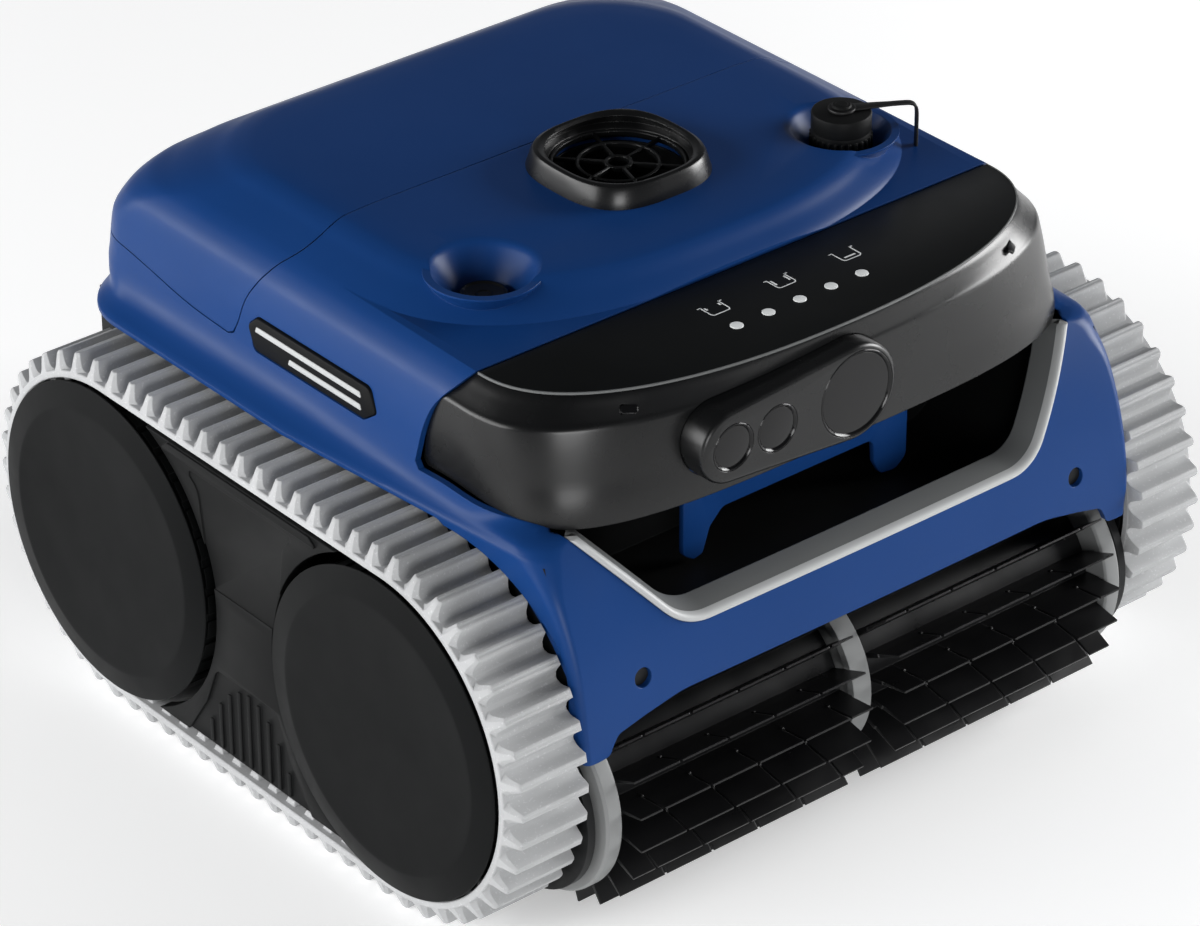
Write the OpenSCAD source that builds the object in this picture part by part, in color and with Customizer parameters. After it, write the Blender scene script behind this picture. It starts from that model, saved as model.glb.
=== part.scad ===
// Twin-track robotic pool cleaner: front roller brush, pump with a top outlet, fixed filter
// basket under a rear lid. X is the width, the front faces -Y, Z is up, and the origin is on
// the ground, midway between the front and rear wheels.

/* [Body] */
// Width of the hull between the side frames
body_w = 304; // [280:1:370]
// Distance between the front and rear wheel axles
wheel_base = 198; // [180:1:240]
// Height of the shell above the deck where it meets the hull
shell_rise = 75.6; // [70:0.1:92]
// Wall thickness of the blue shell, lid and visor
shell_wall = 3; // [2:0.1:4]
// Wall thickness of the hull and the sealed box
hull_wall = 3; // [2:0.1:4]
// Gap of the seam between lid and shell
seam_gap = 0.6; // [0.4:0.1:1]

/* [Tracks] */
// Radius over the lug tips at the wheels
track_r = 87; // [84:0.5:95]
// Width of each track belt
belt_w = 39.4; // [34:0.1:48]
// Thickness of the belt band
belt_t = 3.5; // [2.5:0.1:4]
// Height of the outer lugs
lug_h = 8; // [5:0.5:9]
// Target spacing of the lugs along the belt
lug_pitch = 13.1; // [11:0.1:16]
// Height of the inner drive teeth
tooth_h = 2.3; // [1.5:0.1:2.5]

/* [Wheels and gears] */
// Radius of the stub axles
axle_r = 8; // [6:0.5:9]
// Radius of the wheel covers
cover_r = 75; // [70:0.5:77]
// Gear module
gear_m = 1.5; // [1.5:0.1:1.6]
// Teeth on the gear moulded on each front wheel
wheel_teeth = 40; // [38:1:42]
// Teeth on the brush gear
brush_teeth = 23; // [22:1:24]
// Teeth on the motor pinion
pinion_teeth = 14; // [13:1:16]
// Width of the gear teeth
gear_w = 8; // [6:0.5:10]

/* [Brush] */
// Radius over the brush blades
brush_r = 58; // [50:0.5:59]
// Radius of the brush core
brush_core_r = 36; // [30:0.5:40]
// Number of blades around each brush half
blade_n = 22; // [16:1:28]
// Radius of the brush shaft
brush_shaft_r = 6; // [5:0.25:7]

/* [Top] */
// Inner radius of the outlet
outlet_r = 30; // [26:0.5:32]
// Propeller radius
prop_r = 27.5; // [22:0.5:28]
// Distance of the button and socket wells from the middle
well_x = 100.5; // [96:0.5:104]
// Top radius of the wells
well_r = 23.3; // [21:0.1:25]
// Travel of the power button
button_travel = 2.5; // [1.5:0.1:3]
// Radius of the charging socket
socket_r = 11.5; // [10:0.1:12]

/* [Front grip] */
// Half width of the grip opening at the visor
grip_top_x = 135; // [130:0.5:138]
// Height of the grip opening's lower edge
grip_z = 140; // [136:0.5:146]
// Corner radius of the grip opening
grip_corner = 24; // [18:0.5:30]
// Width of the grey trim round the grip opening
trim_w = 5; // [4:0.5:7]

/* [Clearances] */
// Radial running clearance of shafts in bores
run_fit = 0.05; // [0.02:0.01:0.1]
// Gap between parts that move past each other
move_gap = 0.6; // [0.4:0.1:1]

/* [Hidden] */
$fn = 64;

// Main stations
half_w = body_w / 2;
front_y = -wheel_base / 2;
rear_y = wheel_base / 2;
axle_z = track_r;
deck_z = 2 * track_r + 2;
top_z = deck_z + shell_rise;

// Side stack, from the hull outwards
frame_t = 4;
frame_out = half_w + frame_t;
belt_in = frame_out + 2.6;
belt_out = belt_in + belt_w;
wheel_in = belt_in + 1.6;
wheel_out = belt_out - 2;
cover_t = 3.2;

// Belt radii
belt_r = track_r - lug_h;
belt_ri = belt_r - belt_t;
rim_r = belt_ri - tooth_h - move_gap;
belt_len = 2 * wheel_base + 2 * PI * belt_r;
lug_n = round(belt_len / lug_pitch);

// Gear train and brush axis
wheel_pitch_r = gear_m * wheel_teeth / 2;
brush_pitch_r = gear_m * brush_teeth / 2;
pinion_pitch_r = gear_m * pinion_teeth / 2;
brush_z = brush_r + 1;
brush_drop = axle_z - brush_z;
brush_y = front_y - sqrt(pow(wheel_pitch_r + brush_pitch_r, 2) - pow(brush_drop, 2));
motor_y = front_y + wheel_pitch_r + pinion_pitch_r;
brush_len = half_w - 12;
motor_shaft_r = 3;
motor_r = 13;
hood_r = brush_r + 4;

// Hull
hull_floor = 22;
hull_rear = rear_y + 58;
hull_front = brush_y - 3;
hull_step_y = front_y + 2;
hull_step_z = brush_z + hood_r + 3;
cavity_y0 = front_y + 7;

// Shell features
visor_y = front_y + 3;
visor_low = deck_z + 7.5;
panel_z = deck_z + shell_rise - 14.6;
seam_y = 27;
hinge_y = rear_y + 67.5;
hinge_z = panel_z - 30;
pin_r = 2.5;
lug_r = 5;
lid_lug_len = 16;
lid_lugs = [-84, -56, 40, 68];
fixed_lug_len = 12 - 2 * move_gap;
fixed_lugs = [for (x = [-68, 56]) x + move_gap];
outlet_y = -15;
well_y = front_y + 52;
well_z = top_z - 14;
apron_t = 4;
flange_in = half_w - 8;
liner_t = 3;
liner_drop = 9.5;
liner_floor = grip_z - trim_w - liner_drop + liner_t;

// Inside
riser_y = rear_y - 9;
riser_top = hull_floor + 40;
box_y1 = 18;
box_z0 = hull_floor + hull_wall;
box_z1 = box_z0 + 104;
box_lid_t = 4;
prop_z = top_z - 24;
basket_x = 104;
basket_y0 = 38;
basket_y1 = rear_y + 46;
basket_z1 = deck_z + 14;
basket_wall = 2.4;

// ---------- helpers ----------

// Extrudes a side-view shape, drawn as (y, z), along X
module along_x(x0, len) {
    translate([x0, 0, 0]) rotate([90, 0, 90]) linear_extrude(height = len) children();
}

// Extrudes a front-view shape, drawn as (x, z), from y0 back to y0 + len
module along_y(y0, len) {
    translate([0, y0 + len, 0]) rotate([90, 0, 0]) linear_extrude(height = len) children();
}

// Round bar along X
module bar_x(x0, x1, y, z, r) {
    translate([x0, y, z]) rotate([0, 90, 0]) cylinder(r = r, h = x1 - x0);
}

module left() {
    mirror([1, 0, 0]) children();
}

// A point of a superellipse, with its angle in degrees
function super_pt(a, b, n, t) = [
    a * sign(cos(t)) * pow(abs(cos(t)), 2 / n),
    b * sign(sin(t)) * pow(abs(sin(t)), 2 / n)
];

// One closed outline of a body section: a superellipse nose and rounded rear corners
nose_steps = 28;
corner_steps = 7;
function section(z, hw, nose_y, nose_b, n, back_y, back_r) = concat(
    [for (i = [0:nose_steps])
        let (p = super_pt(hw, nose_b, n, 180 + 180 * i / nose_steps))
        [p[0], nose_y + p[1], z]],
    [for (i = [0:corner_steps])
        let (t = 90 * i / corner_steps)
        [hw - back_r + back_r * cos(t), back_y - back_r + back_r * sin(t), z]],
    [for (i = [0:corner_steps])
        let (t = 90 + 90 * i / corner_steps)
        [-hw + back_r + back_r * cos(t), back_y - back_r + back_r * sin(t), z]]
);

// Solid through a stack of outlines that all have the same number of points
module loft(rows) {
    n = len(rows[0]);
    m = len(rows);
    points = [for (row = rows) each row];
    sides = [for (k = [0:m - 2]) for (i = [0:n - 1])
        let (j = (i + 1) % n)
        each [
            [k * n + i, (k + 1) * n + i, (k + 1) * n + j],
            [k * n + i, (k + 1) * n + j, k * n + j]
        ]];
    bottom = [for (i = [0:n - 1]) i];
    top = [for (i = [n - 1:-1:0]) (m - 1) * n + i];
    polyhedron(points = points, faces = concat([bottom], sides, [top]));
}

// Spur gear outline with straight-flanked teeth, thinned so that meshing teeth never touch
function gear_points(teeth, turn) =
    let (
        r = gear_m * teeth / 2,
        root = r - 1.25 * gear_m,
        tip = r + 0.85 * gear_m,
        pitch = 360 / teeth,
        root_half = 0.30 * pitch,
        mid_half = 0.175 * pitch,
        tip_half = 0.08 * pitch
    )
    [for (i = [0:teeth - 1]) for (p = [
        [root, -root_half], [r, -mid_half], [tip, -tip_half],
        [tip, tip_half], [r, mid_half], [root, root_half]
    ])
        let (a = i * pitch + turn + p[1])
        [p[0] * cos(a), p[0] * sin(a)]];

// Gear on an axis along X at (y, z)
module gear_x(x0, y, z, teeth, turn, bore) {
    difference() {
        along_x(x0, gear_w)
            translate([y, z]) polygon(gear_points(teeth, turn));
        bar_x(x0 - 1, x0 + gear_w + 1, y, z, bore);
    }
}

// ---------- shell sections ----------

// z above the deck, half width less the hull's, rear y less the rear axle's, rear corner radius
shell_low = [
    [0, 22.5, 64, 42],
    [5, 21.5, 63.5, 42],
    [8, 12, 62.5, 36],
    [14, 7, 62, 32],
    [27, 5, 61, 30],
    [40, 4, 60, 32],
    [50, 1, 58, 36],
    [58, -5, 54, 42]
];
// The same, with the depth of the nose in front of the middle
shell_high = [
    [61.9, -9, 49, 46, 96],
    [64.4, -13, 48, 48, 95],
    [69, -21, 39, 50, 91],
    [73, -30, 28, 50, 86],
    [75, -37, 18, 48, 82],
    [75.6, -50, 6, 40, 74]
];
rise_scale = shell_rise / 75.6;

// Outer body (inset 0) or the hollow inside it (inset = wall)
module body_form(inset) {
    sink = inset > 0 ? 1 : 0;
    low = [for (r = shell_low)
        section(deck_z + r[0] * rise_scale - (r[0] == 0 ? sink : 0), half_w + r[1] - inset,
            visor_y, 62 - inset, 3.2, rear_y + r[2] - inset, r[3])];
    high = [for (r = shell_high)
        section(deck_z + r[0] * rise_scale - inset, half_w + r[1] - inset,
            front_y + 99, r[4] - inset, 2.6, rear_y + r[2] - inset, r[3])];
    loft(concat(low, high));
}

// z above the deck, half width less the hull's, depth of the nose, its squareness
visor_rows = [
    [0, 1.5, 67, 3.6],
    [38.5, 0.5, 67, 2.7],
    [46, -2, 66.5, 2.5],
    [53.5, -9.5, 65, 2.3]
];
visor_top = panel_z - 1;

module visor_form(inset) {
    rise = (visor_top - visor_low) / 53.5;
    loft([for (i = [0:len(visor_rows) - 1])
        let (r = visor_rows[i])
        section(visor_low + r[0] * rise - (i == 0 && inset > 0 ? 1 : 0) - (i == 3 ? inset : 0),
            half_w + r[1] - inset, visor_y, r[2] - inset, r[3], visor_y + 26, 1)]);
}

// Side view of the space that the visor takes
module visor_zone(grow) {
    polygon([
        [visor_y + 23 + grow, visor_low + 6 - grow], [visor_y + 14 + grow, visor_low + 37],
        [visor_y + grow, visor_top - 3], [visor_y + grow, top_z + 20],
        [front_y - 120, top_z + 20], [front_y - 120, visor_low - grow],
        [front_y - 53, visor_low - grow], [front_y - 35, visor_low + 3 - grow]
    ]);
}

// Side view of the space that the lid takes
module lid_zone(gap) {
    polygon([
        [seam_y + gap, top_z + 20], [seam_y + gap, panel_z + 7],
        [seam_y + 8 + gap, panel_z - 4], [seam_y + 18 + gap, panel_z - 20],
        [seam_y + 23 + gap, panel_z - 33], [seam_y + 28 + gap, panel_z - 43 + gap],
        [seam_y + 63, panel_z - 40 + gap], [rear_y + 46, hinge_z - 1 + gap],
        [rear_y + 120, hinge_z + 2 + gap], [rear_y + 120, top_z + 20]
    ]);
}

// Front apron surface in side view: upright at the bottom, leaning back towards the deck
apron_z0 = 90;
function apron_y(z) =
    front_y - 82 + 29 * pow(max(0, z - apron_z0 - 5) / (visor_low - apron_z0 - 5), 2.2);

module apron_band(out, depth) {
    steps = 12;
    zs = [for (i = [0:steps]) apron_z0 + (visor_low - apron_z0) * i / steps];
    polygon(concat(
        [for (z = zs) [apron_y(z) - out, z]],
        [for (i = [steps:-1:0]) [apron_y(zs[i]) - out + depth, zs[i]]]
    ));
}

// Grip opening in front view, grown by e
grip_angle = 48.8;
grip_cz = grip_z + grip_corner;
grip_cx = grip_top_x
    - (grip_corner + (visor_low - grip_cz) * cos(grip_angle)) / sin(grip_angle);
module grip_outline(e, top) {
    r = grip_corner + e;
    arc = [for (i = [0:8])
        let (t = -90 + grip_angle * i / 8)
        [grip_cx + r * cos(t), grip_cz + r * sin(t)]];
    last = arc[8];
    rise = top - last[1];
    end = [[last[0] + rise * cos(grip_angle) / sin(grip_angle), top]];
    half = concat(arc, end);
    polygon(concat(half, [for (i = [len(half) - 1:-1:0]) [-half[i][0], half[i][1]]]));
}

// Front view of the apron: feet outside the brush, arch over it, fenders beside the tracks
module apron_outline() {
    half = [
        [0, 109.5], [half_w - 48, 109.5], [half_w - 27, 105], [half_w - 9, 97.5],
        [half_w, apron_z0], [half_w + 2.7, 108], [half_w + 4.3, 146], [half_w + 9, 164],
        [half_w + 12, deck_z], [half_w + 6, visor_low]
    ];
    polygon(concat(half, [for (i = [len(half) - 1:-1:1]) [-half[i][0], half[i][1]]]));
}

// ---------- root: shell and hull ----------

module side_strip_solid() {
    translate([half_w + 3.4, 0, deck_z + 27.5]) rotate([0, -3, 0])
        along_x(0, 3.4) polygon([
            [-46, -2], [-42, 8], [36, 8], [42, 3], [38, -8], [-38, -8]
        ]);
}

module shell_wells() {
    for (s = [-1, 1])
        translate([s * well_x, well_y, well_z - 4]) cylinder(r1 = 16, r2 = well_r, h = 12);
}

module shell_well_cuts() {
    for (s = [-1, 1])
        translate([s * well_x, well_y, 0]) {
            translate([0, 0, well_z - 2]) cylinder(r1 = 13, r2 = well_r, h = 14);
            translate([0, 0, well_z + 12]) cylinder(r = well_r, h = 12);
            translate([0, 0, well_z - 5]) cylinder(r = 13, h = 4);
        }
}

// Deck flange that closes the shell underneath and rests on the hull and frames
module deck_flange() {
    difference() {
        translate([0, 0, deck_z])
            linear_extrude(height = shell_wall) polygon([
                for (p = section(0, half_w + 20, visor_y, 50, 3.2, rear_y + 61, 40))
                    [p[0], p[1]]
            ]);
        translate([-flange_in, front_y - 80, deck_z - 1])
            cube([2 * flange_in, hull_rear - 6 - front_y + 80, 10]);
    }
    // corners that join the flange to the fenders
    for (s = [-1, 1])
        translate([s * (flange_in + 8.5) - 8.5, apron_y(deck_z) + 3, deck_z])
            cube([17, 45, shell_wall]);
}

// Deck under the visor, which is the ceiling of the grip pocket
module visor_shelf() {
    intersection() {
        body_form(0.01);
        translate([-half_w - 20, front_y - 70, visor_low - shell_wall])
            cube([body_w + 40, 77, shell_wall]);
    }
}

// Finger plate that hangs from the shelf inside the grip pocket
module grip_ledge() {
    tab_z = liner_floor + 1.5;
    along_y(front_y - 32, 3) polygon([
        [-60, visor_low], [-60, tab_z], [-50, tab_z], [-46, 144], [-40, 150],
        [46, 150], [46, tab_z + 6], [50, tab_z], [60, tab_z], [64, tab_z + 4], [64, visor_low]
    ]);
}

module shell_body() {
    difference() {
        union() {
            difference() {
                body_form(0);
                body_form(shell_wall);
                // grip pocket, open to the front under the visor
                translate([-half_w + 10, front_y - 120, deck_z - 5])
                    cube([body_w - 20, 123, visor_low - deck_z + 20]);
            }
            deck_flange();
            visor_shelf();
            grip_ledge();
            intersection() {
                shell_wells();
                body_form(0.01);
            }
            intersection() {
                along_x(-half_w - 20, body_w + 40) apron_band(0, apron_t);
                along_y(front_y - 120, 160) apron_outline();
            }
        }
        shell_well_cuts();
        along_x(-half_w - 40, body_w + 80) visor_zone(0);
        along_x(-half_w - 40, body_w + 80) lid_zone(0);
        translate([0, outlet_y, top_z - 20]) cylinder(r = outlet_r + 0.5, h = 40);
        along_y(front_y - 110, 80) grip_outline(trim_w, visor_low + 1);
        // front screw holes
        for (s = [-1, 1])
            translate([s * (half_w - 28.2), front_y - 60, 122]) rotate([90, 0, 0])
                cylinder(r = 4.2, h = 60);
        side_strip_solid();
        left() side_strip_solid();
    }
}

module upper_shell() {
    color("#2c4f8c")
    difference() {
        union() {
            shell_body();
            // fixed knuckles, one between each pair of the lid's
            for (x = fixed_lugs) {
                bar_x(x, x + fixed_lug_len, hinge_y, hinge_z, lug_r);
                translate([x, hinge_y - 8, hinge_z - lug_r])
                    cube([fixed_lug_len, 8, lug_r - 1.5]);
            }
        }
        bar_x(-120, 120, hinge_y, hinge_z, pin_r);
        // room for the brush blades inside the feet
        bar_x(-brush_len - 0.6, brush_len + 0.6, brush_y, brush_z, brush_r + 0.6);
    }
}

module filter_lid() {
    color("#2c4f8c")
    difference() {
        union() {
            difference() {
                intersection() {
                    body_form(0);
                    along_x(-half_w - 40, body_w + 80) lid_zone(seam_gap);
                }
                body_form(shell_wall);
            }
            for (x = lid_lugs) {
                bar_x(x, x + lid_lug_len, hinge_y, hinge_z, lug_r);
                translate([x, hinge_y - 9, hinge_z + 1.5]) cube([lid_lug_len, 9, lug_r - 1.5]);
            }
        }
        bar_x(-120, 120, hinge_y, hinge_z, pin_r + run_fit);
    }
}

module lid_hinge_pin() {
    color("#b9bcc0") {
        bar_x(-96, 96, hinge_y, hinge_z, pin_r);
    }
}

module lower_hull() {
    color("#17191b")
    difference() {
        union() {
            difference() {
                along_x(-half_w, body_w) polygon([
                    [hull_front, hull_step_z], [hull_front, hull_floor + 20],
                    [front_y, hull_floor], [hull_rear - 16, hull_floor],
                    [hull_rear, hull_floor + 18], [hull_rear, deck_z],
                    [hull_step_y, deck_z], [hull_step_y, hull_step_z]
                ]);
                difference() {
                    translate([-half_w + hull_wall, cavity_y0, box_z0])
                        cube([body_w - 2 * hull_wall, hull_rear - hull_wall - cavity_y0, deck_z]);
                    bar_x(-half_w, half_w, brush_y, brush_z, hood_r + hull_wall);
                }
                bar_x(-half_w - 1, half_w + 1, brush_y, brush_z, hood_r);
            }
            // riser from the suction mouth to the basket
            translate([-58, riser_y - 20, hull_floor]) cube([116, 40, riser_top - hull_floor]);
        }
        translate([-55, riser_y - 17, hull_floor - 1]) cube([110, 34, riser_top]);
        for (s = [-1, 1])
            bar_x(s * half_w - 5, s * half_w + 5, motor_y, axle_z, motor_shaft_r + run_fit);
    }
}

module bottom_plate() {
    color("#1f2224")
    difference() {
        translate([-90, riser_y - 34, hull_floor - 4]) cube([180, 62, 4]);
        translate([-55, riser_y - 17, hull_floor - 5]) cube([110, 34, 6]);
    }
}

// Right-hand side frame plate
module side_frame() {
    difference() {
        union() {
            along_x(half_w, frame_t) polygon(concat(
                [[hull_rear, deck_z], [hull_rear, hull_floor + 18], [hull_rear - 16, hull_floor],
                    [front_y, hull_floor], [brush_y, brush_z]],
                [for (i = [0:8])
                    let (z = apron_z0 + 6 + (deck_z - apron_z0 - 6) * i / 8)
                    [apron_y(z) + apron_t, z]]
            ));
            bar_x(half_w, frame_out, brush_y, brush_z, 44);
        }
        for (y = [front_y, rear_y])
            bar_x(half_w - 1, frame_out + 1, y, axle_z, axle_r);
        bar_x(half_w - 1, frame_out + 1, brush_y, brush_z, brush_shaft_r + run_fit);
        bar_x(half_w - 1, frame_out + 1, motor_y, axle_z, motor_shaft_r + run_fit);
    }
}

module right_side_frame() {
    color("#17191b") side_frame();
}

module left_side_frame() {
    color("#17191b") left() side_frame();
}

module visor() {
    color("#0d0e10")
    difference() {
        intersection() {
            difference() {
                visor_form(0);
                visor_form(shell_wall);
            }
            along_x(-half_w - 40, body_w + 80) visor_zone(0);
        }
        level_window_solids();
        sensor_bar_solid();
    }
}

module control_panel() {
    color("#121416")
    difference() {
        translate([0, 0, visor_top])
            linear_extrude(height = 1.6) polygon([
                for (p = section(0, half_w - 10.5, visor_y, 64, 2.3, visor_y + 1, 0.5))
                    [p[0], p[1]]
            ]);
        translate([-half_w, visor_y, visor_top - 5]) cube([body_w, 40, 10]);
        status_light_solids();
    }
}

module status_light_solids() {
    for (i = [-2:2])
        translate([17.5 * i - 1.5, front_y - 35, visor_top]) cylinder(r = 3, h = 2.1);
}

module status_lights() {
    color("#f2f4f4") status_light_solids();
}

module level_window_solids() {
    for (s = [-1, 0, 1])
        translate([s * 107, front_y - (s == 0 ? 66 : 51), panel_z - 8.5])
            rotate([0, 0, s * 36]) translate([-4, -2.5, -3]) cube([8, 5, 6]);
}

module level_windows() {
    color("#050506") level_window_solids();
}

bar_z = panel_z - 27.5;
bar_face = front_y - 73;
bar_small_r = 17;
bar_large_r = 22.5;
lens_spots = [[-71, 11], [-47, 11], [-3, 20]];

// Tapered stadium housing of the sensors
module sensor_bar_form() {
    hull() {
        translate([lens_spots[0][0], bar_face, bar_z]) rotate([-90, 0, 0])
            cylinder(r = bar_small_r, h = 28);
        translate([lens_spots[2][0], bar_face, bar_z]) rotate([-90, 0, 0])
            cylinder(r = bar_large_r, h = 28);
    }
}

module sensor_bar_solid() {
    difference() {
        sensor_bar_form();
        visor_form(0);
    }
}

module sensor_bar() {
    color("#141517")
    difference() {
        sensor_bar_solid();
        sensor_lens_solids();
        level_window_solids();
    }
}

module sensor_lens_solids() {
    for (p = lens_spots)
        translate([p[0], bar_face - 0.4, bar_z]) rotate([-90, 0, 0]) cylinder(r = p[1], h = 3);
}

module sensor_lenses() {
    color("#1d1f22") sensor_lens_solids();
}

module handle_trim() {
    color("#a9adac")
    intersection() {
        along_x(-half_w - 20, body_w + 40) apron_band(0.8, 9);
        difference() {
            along_y(front_y - 110, 80) grip_outline(trim_w, visor_low - shell_wall);
            along_y(front_y - 111, 82) grip_outline(0, visor_low + 5);
        }
    }
}

// Front view of the pocket behind the grip opening, deeper than the opening itself
module pocket_outline(e) {
    grip_outline(e, visor_low - shell_wall);
    translate([0, -liner_drop]) grip_outline(e, visor_low);
}

module handle_liner() {
    back_y = front_y - 2;
    front = apron_y(grip_z) + 9;
    color("#101112")
    difference() {
        along_y(front, back_y - front) pocket_outline(trim_w);
        along_y(front - 1, back_y - front - liner_t + 1) pocket_outline(trim_w - liner_t);
        along_x(-half_w - 20, body_w + 40) apron_band(20, 29);
        translate([-half_w, front - 1, visor_low - shell_wall]) cube([body_w, 90, 20]);
        grip_ledge();
    }
}

// ---------- root: outlet, pump and electronics ----------

module outlet_rim() {
    color("#1a1b1d")
    translate([0, outlet_y, top_z]) {
        difference() {
            hull() {
                for (a = [45:90:315])
                    rotate([0, 0, a]) translate([30, 0, 0]) cylinder(r1 = 15, r2 = 12.5, h = 10);
            }
            translate([0, 0, -1]) cylinder(r = outlet_r, h = 20);
            translate([0, 0, 3]) cylinder(r1 = outlet_r, r2 = outlet_r + 4, h = 8);
        }
    }
}

module ring(r0, r1, h) {
    difference() {
        cylinder(r = r1, h = h);
        translate([0, 0, -1]) cylinder(r = r0, h = h + 2);
    }
}

module outlet_grille() {
    color("#1a1b1d")
    translate([0, outlet_y, top_z + 0.5]) {
        ring(outlet_r - 2, outlet_r, 2.5);
        ring(outlet_r * 0.58, outlet_r * 0.58 + 1.4, 2.5);
        ring(4, 6, 2.5);
        for (a = [0:60:300])
            rotate([0, 0, a + 12]) translate([5, -0.8, 0]) cube([outlet_r - 6, 1.6, 2.5]);
    }
}

module outlet_duct() {
    color("#222426")
    translate([0, outlet_y, prop_z - 22])
        ring(outlet_r, outlet_r + 2.5, top_z - shell_wall - prop_z + 22);
}

module propeller() {
    color("#2b2d30")
    translate([0, outlet_y, prop_z]) difference() {
        union() {
            cylinder(r = 7, h = 12);
            for (a = [0:90:270])
                rotate([0, 0, a]) translate([5, 0, 6]) rotate([28, 0, 0])
                    translate([0, -8, -1]) cube([prop_r - 5.7, 16, 2]);
        }
        translate([0, 0, -1]) cylinder(r = 2.5, h = 10);
    }
}

module pump_motor() {
    color("#3a3d41")
    translate([0, outlet_y, 0]) {
        translate([0, 0, box_z1 + box_lid_t]) cylinder(r = 18, h = prop_z - 16 - box_z1 - box_lid_t);
        translate([0, 0, prop_z - 16]) cylinder(r = 2.5, h = 25);
    }
}

// Region of the sealed box, shrunk by t
module box_form(t) {
    difference() {
        translate([-half_w + hull_wall + 0.5 + t, cavity_y0 + 1 + t, box_z0 + t])
            cube([body_w - 2 * hull_wall - 1 - 2 * t, box_y1 - cavity_y0 - 1 - 2 * t,
                box_z1 - box_z0 - t + (t > 0 ? 1 : 0)]);
        bar_x(-half_w, half_w, brush_y, brush_z, hood_r + hull_wall + 1 + t);
    }
}

module electronics_box() {
    color("#26292c")
    difference() {
        box_form(0);
        box_form(hull_wall);
        for (s = [-1, 1])
            bar_x(s * half_w - 9, s * half_w + 9, motor_y, axle_z, motor_shaft_r + run_fit);
    }
}

module box_cover() {
    color("#2f3236")
    translate([-half_w + hull_wall + 0.5, cavity_y0 + 1, box_z1])
        cube([body_w - 2 * hull_wall - 1, box_y1 - cavity_y0 - 1, box_lid_t]);
}

module battery_pack() {
    color("#3565a8")
    translate([-55, motor_y - 6, box_z0 + hull_wall]) cube([110, 70, 44]);
}

module control_board() {
    color("#1f6b3a") {
        translate([-60, motor_y - 6, box_z1 - 22]) cube([120, 66, 1.6]);
        for (x = [-40, 0, 40])
            translate([x - 8, motor_y + 16, box_z1 - 20.4]) cube([16, 16, 4]);
        for (x = [-56, 50])
            for (y = [motor_y - 2, motor_y + 52])
                translate([x, y, box_z0 + hull_wall + 44])
                    cube([6, 6, box_z1 - 22 - box_z0 - hull_wall - 44]);
    }
}

module drive_motor() {
    bar_x(half_w - 60, half_w - hull_wall * 2 - 0.5, motor_y, axle_z, motor_r);
    bar_x(half_w - 20, wheel_in + gear_w, motor_y, axle_z, motor_shaft_r);
}

module right_drive_motor() {
    color("#55595e") drive_motor();
}

module left_drive_motor() {
    color("#55595e") left() drive_motor();
}

// ---------- wheels, tracks and gears ----------

module motor_pinion() {
    turn = 180 + 180 / pinion_teeth;
    gear_x(wheel_in, motor_y, axle_z, pinion_teeth, turn, motor_shaft_r + run_fit);
}

module right_motor_pinion() {
    color("#d8d4c4") motor_pinion();
}

module left_motor_pinion() {
    color("#d8d4c4") left() motor_pinion();
}

module stub_axle(y) {
    bar_x(half_w, wheel_out + 0.5, y, axle_z, axle_r);
    bar_x(frame_out, frame_out + 3, y, axle_z, axle_r + 3.5);
    bar_x(wheel_out + 0.3, wheel_out + 2.1, y, axle_z, axle_r + 3);
}

module wheel_axles() {
    color("#9a9ea3")
    for (y = [front_y, rear_y]) {
        stub_axle(y);
        left() stub_axle(y);
    }
}

// Wheel on the right-hand side; the geared one drives the brush and is driven by the motor
module wheel(y, geared) {
    difference() {
        union() {
            difference() {
                bar_x(wheel_in, wheel_out, y, axle_z, rim_r);
                bar_x(wheel_in - 1, wheel_out - 5, y, axle_z, rim_r - 4);
                for (i = [0:33])
                    translate([wheel_out - 15, y, axle_z]) rotate([i * 360 / 34, 0, 0])
                        translate([0, -2, rim_r - 1.2]) cube([20, 4, 6]);
            }
            bar_x(wheel_in + 0.5, wheel_out - 2, y, axle_z, axle_r + 7);
            for (i = [0:5])
                translate([wheel_out - 14, y, axle_z]) rotate([i * 60, 0, 0])
                    translate([0, -1.5, axle_r + 5]) cube([11, 3, rim_r - axle_r - 7]);
            if (geared)
                gear_x(wheel_in, y, axle_z, wheel_teeth, 0, axle_r + 5);
        }
        bar_x(wheel_in - 1, wheel_out + 1, y, axle_z, axle_r + run_fit);
    }
}

module front_right_wheel() {
    color("#1b1d1f") wheel(front_y, true);
}

module front_left_wheel() {
    color("#1b1d1f") left() wheel(front_y, true);
}

module rear_right_wheel() {
    color("#1b1d1f") wheel(rear_y, false);
}

module rear_left_wheel() {
    color("#1b1d1f") left() wheel(rear_y, false);
}

// Dished cover that clips on to the outside of a wheel
module wheel_cover(y) {
    translate([0, y, axle_z]) rotate([0, 90, 0]) difference() {
        union() {
            translate([0, 0, wheel_out]) cylinder(r = 60, h = 3);
            translate([0, 0, belt_out + move_gap]) cylinder(r = cover_r, h = 0.8);
            translate([0, 0, belt_out + move_gap + 0.8])
                cylinder(r1 = cover_r, r2 = cover_r - 12.5, h = cover_t - 0.8);
        }
        translate([0, 0, wheel_out - 1]) cylinder(r = axle_r + 6, h = 3.6);
    }
}

module front_right_cover() {
    color("#202224") wheel_cover(front_y);
}

module front_left_cover() {
    color("#202224") left() wheel_cover(front_y);
}

module rear_right_cover() {
    color("#202224") wheel_cover(rear_y);
}

module rear_left_cover() {
    color("#202224") left() wheel_cover(rear_y);
}

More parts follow.
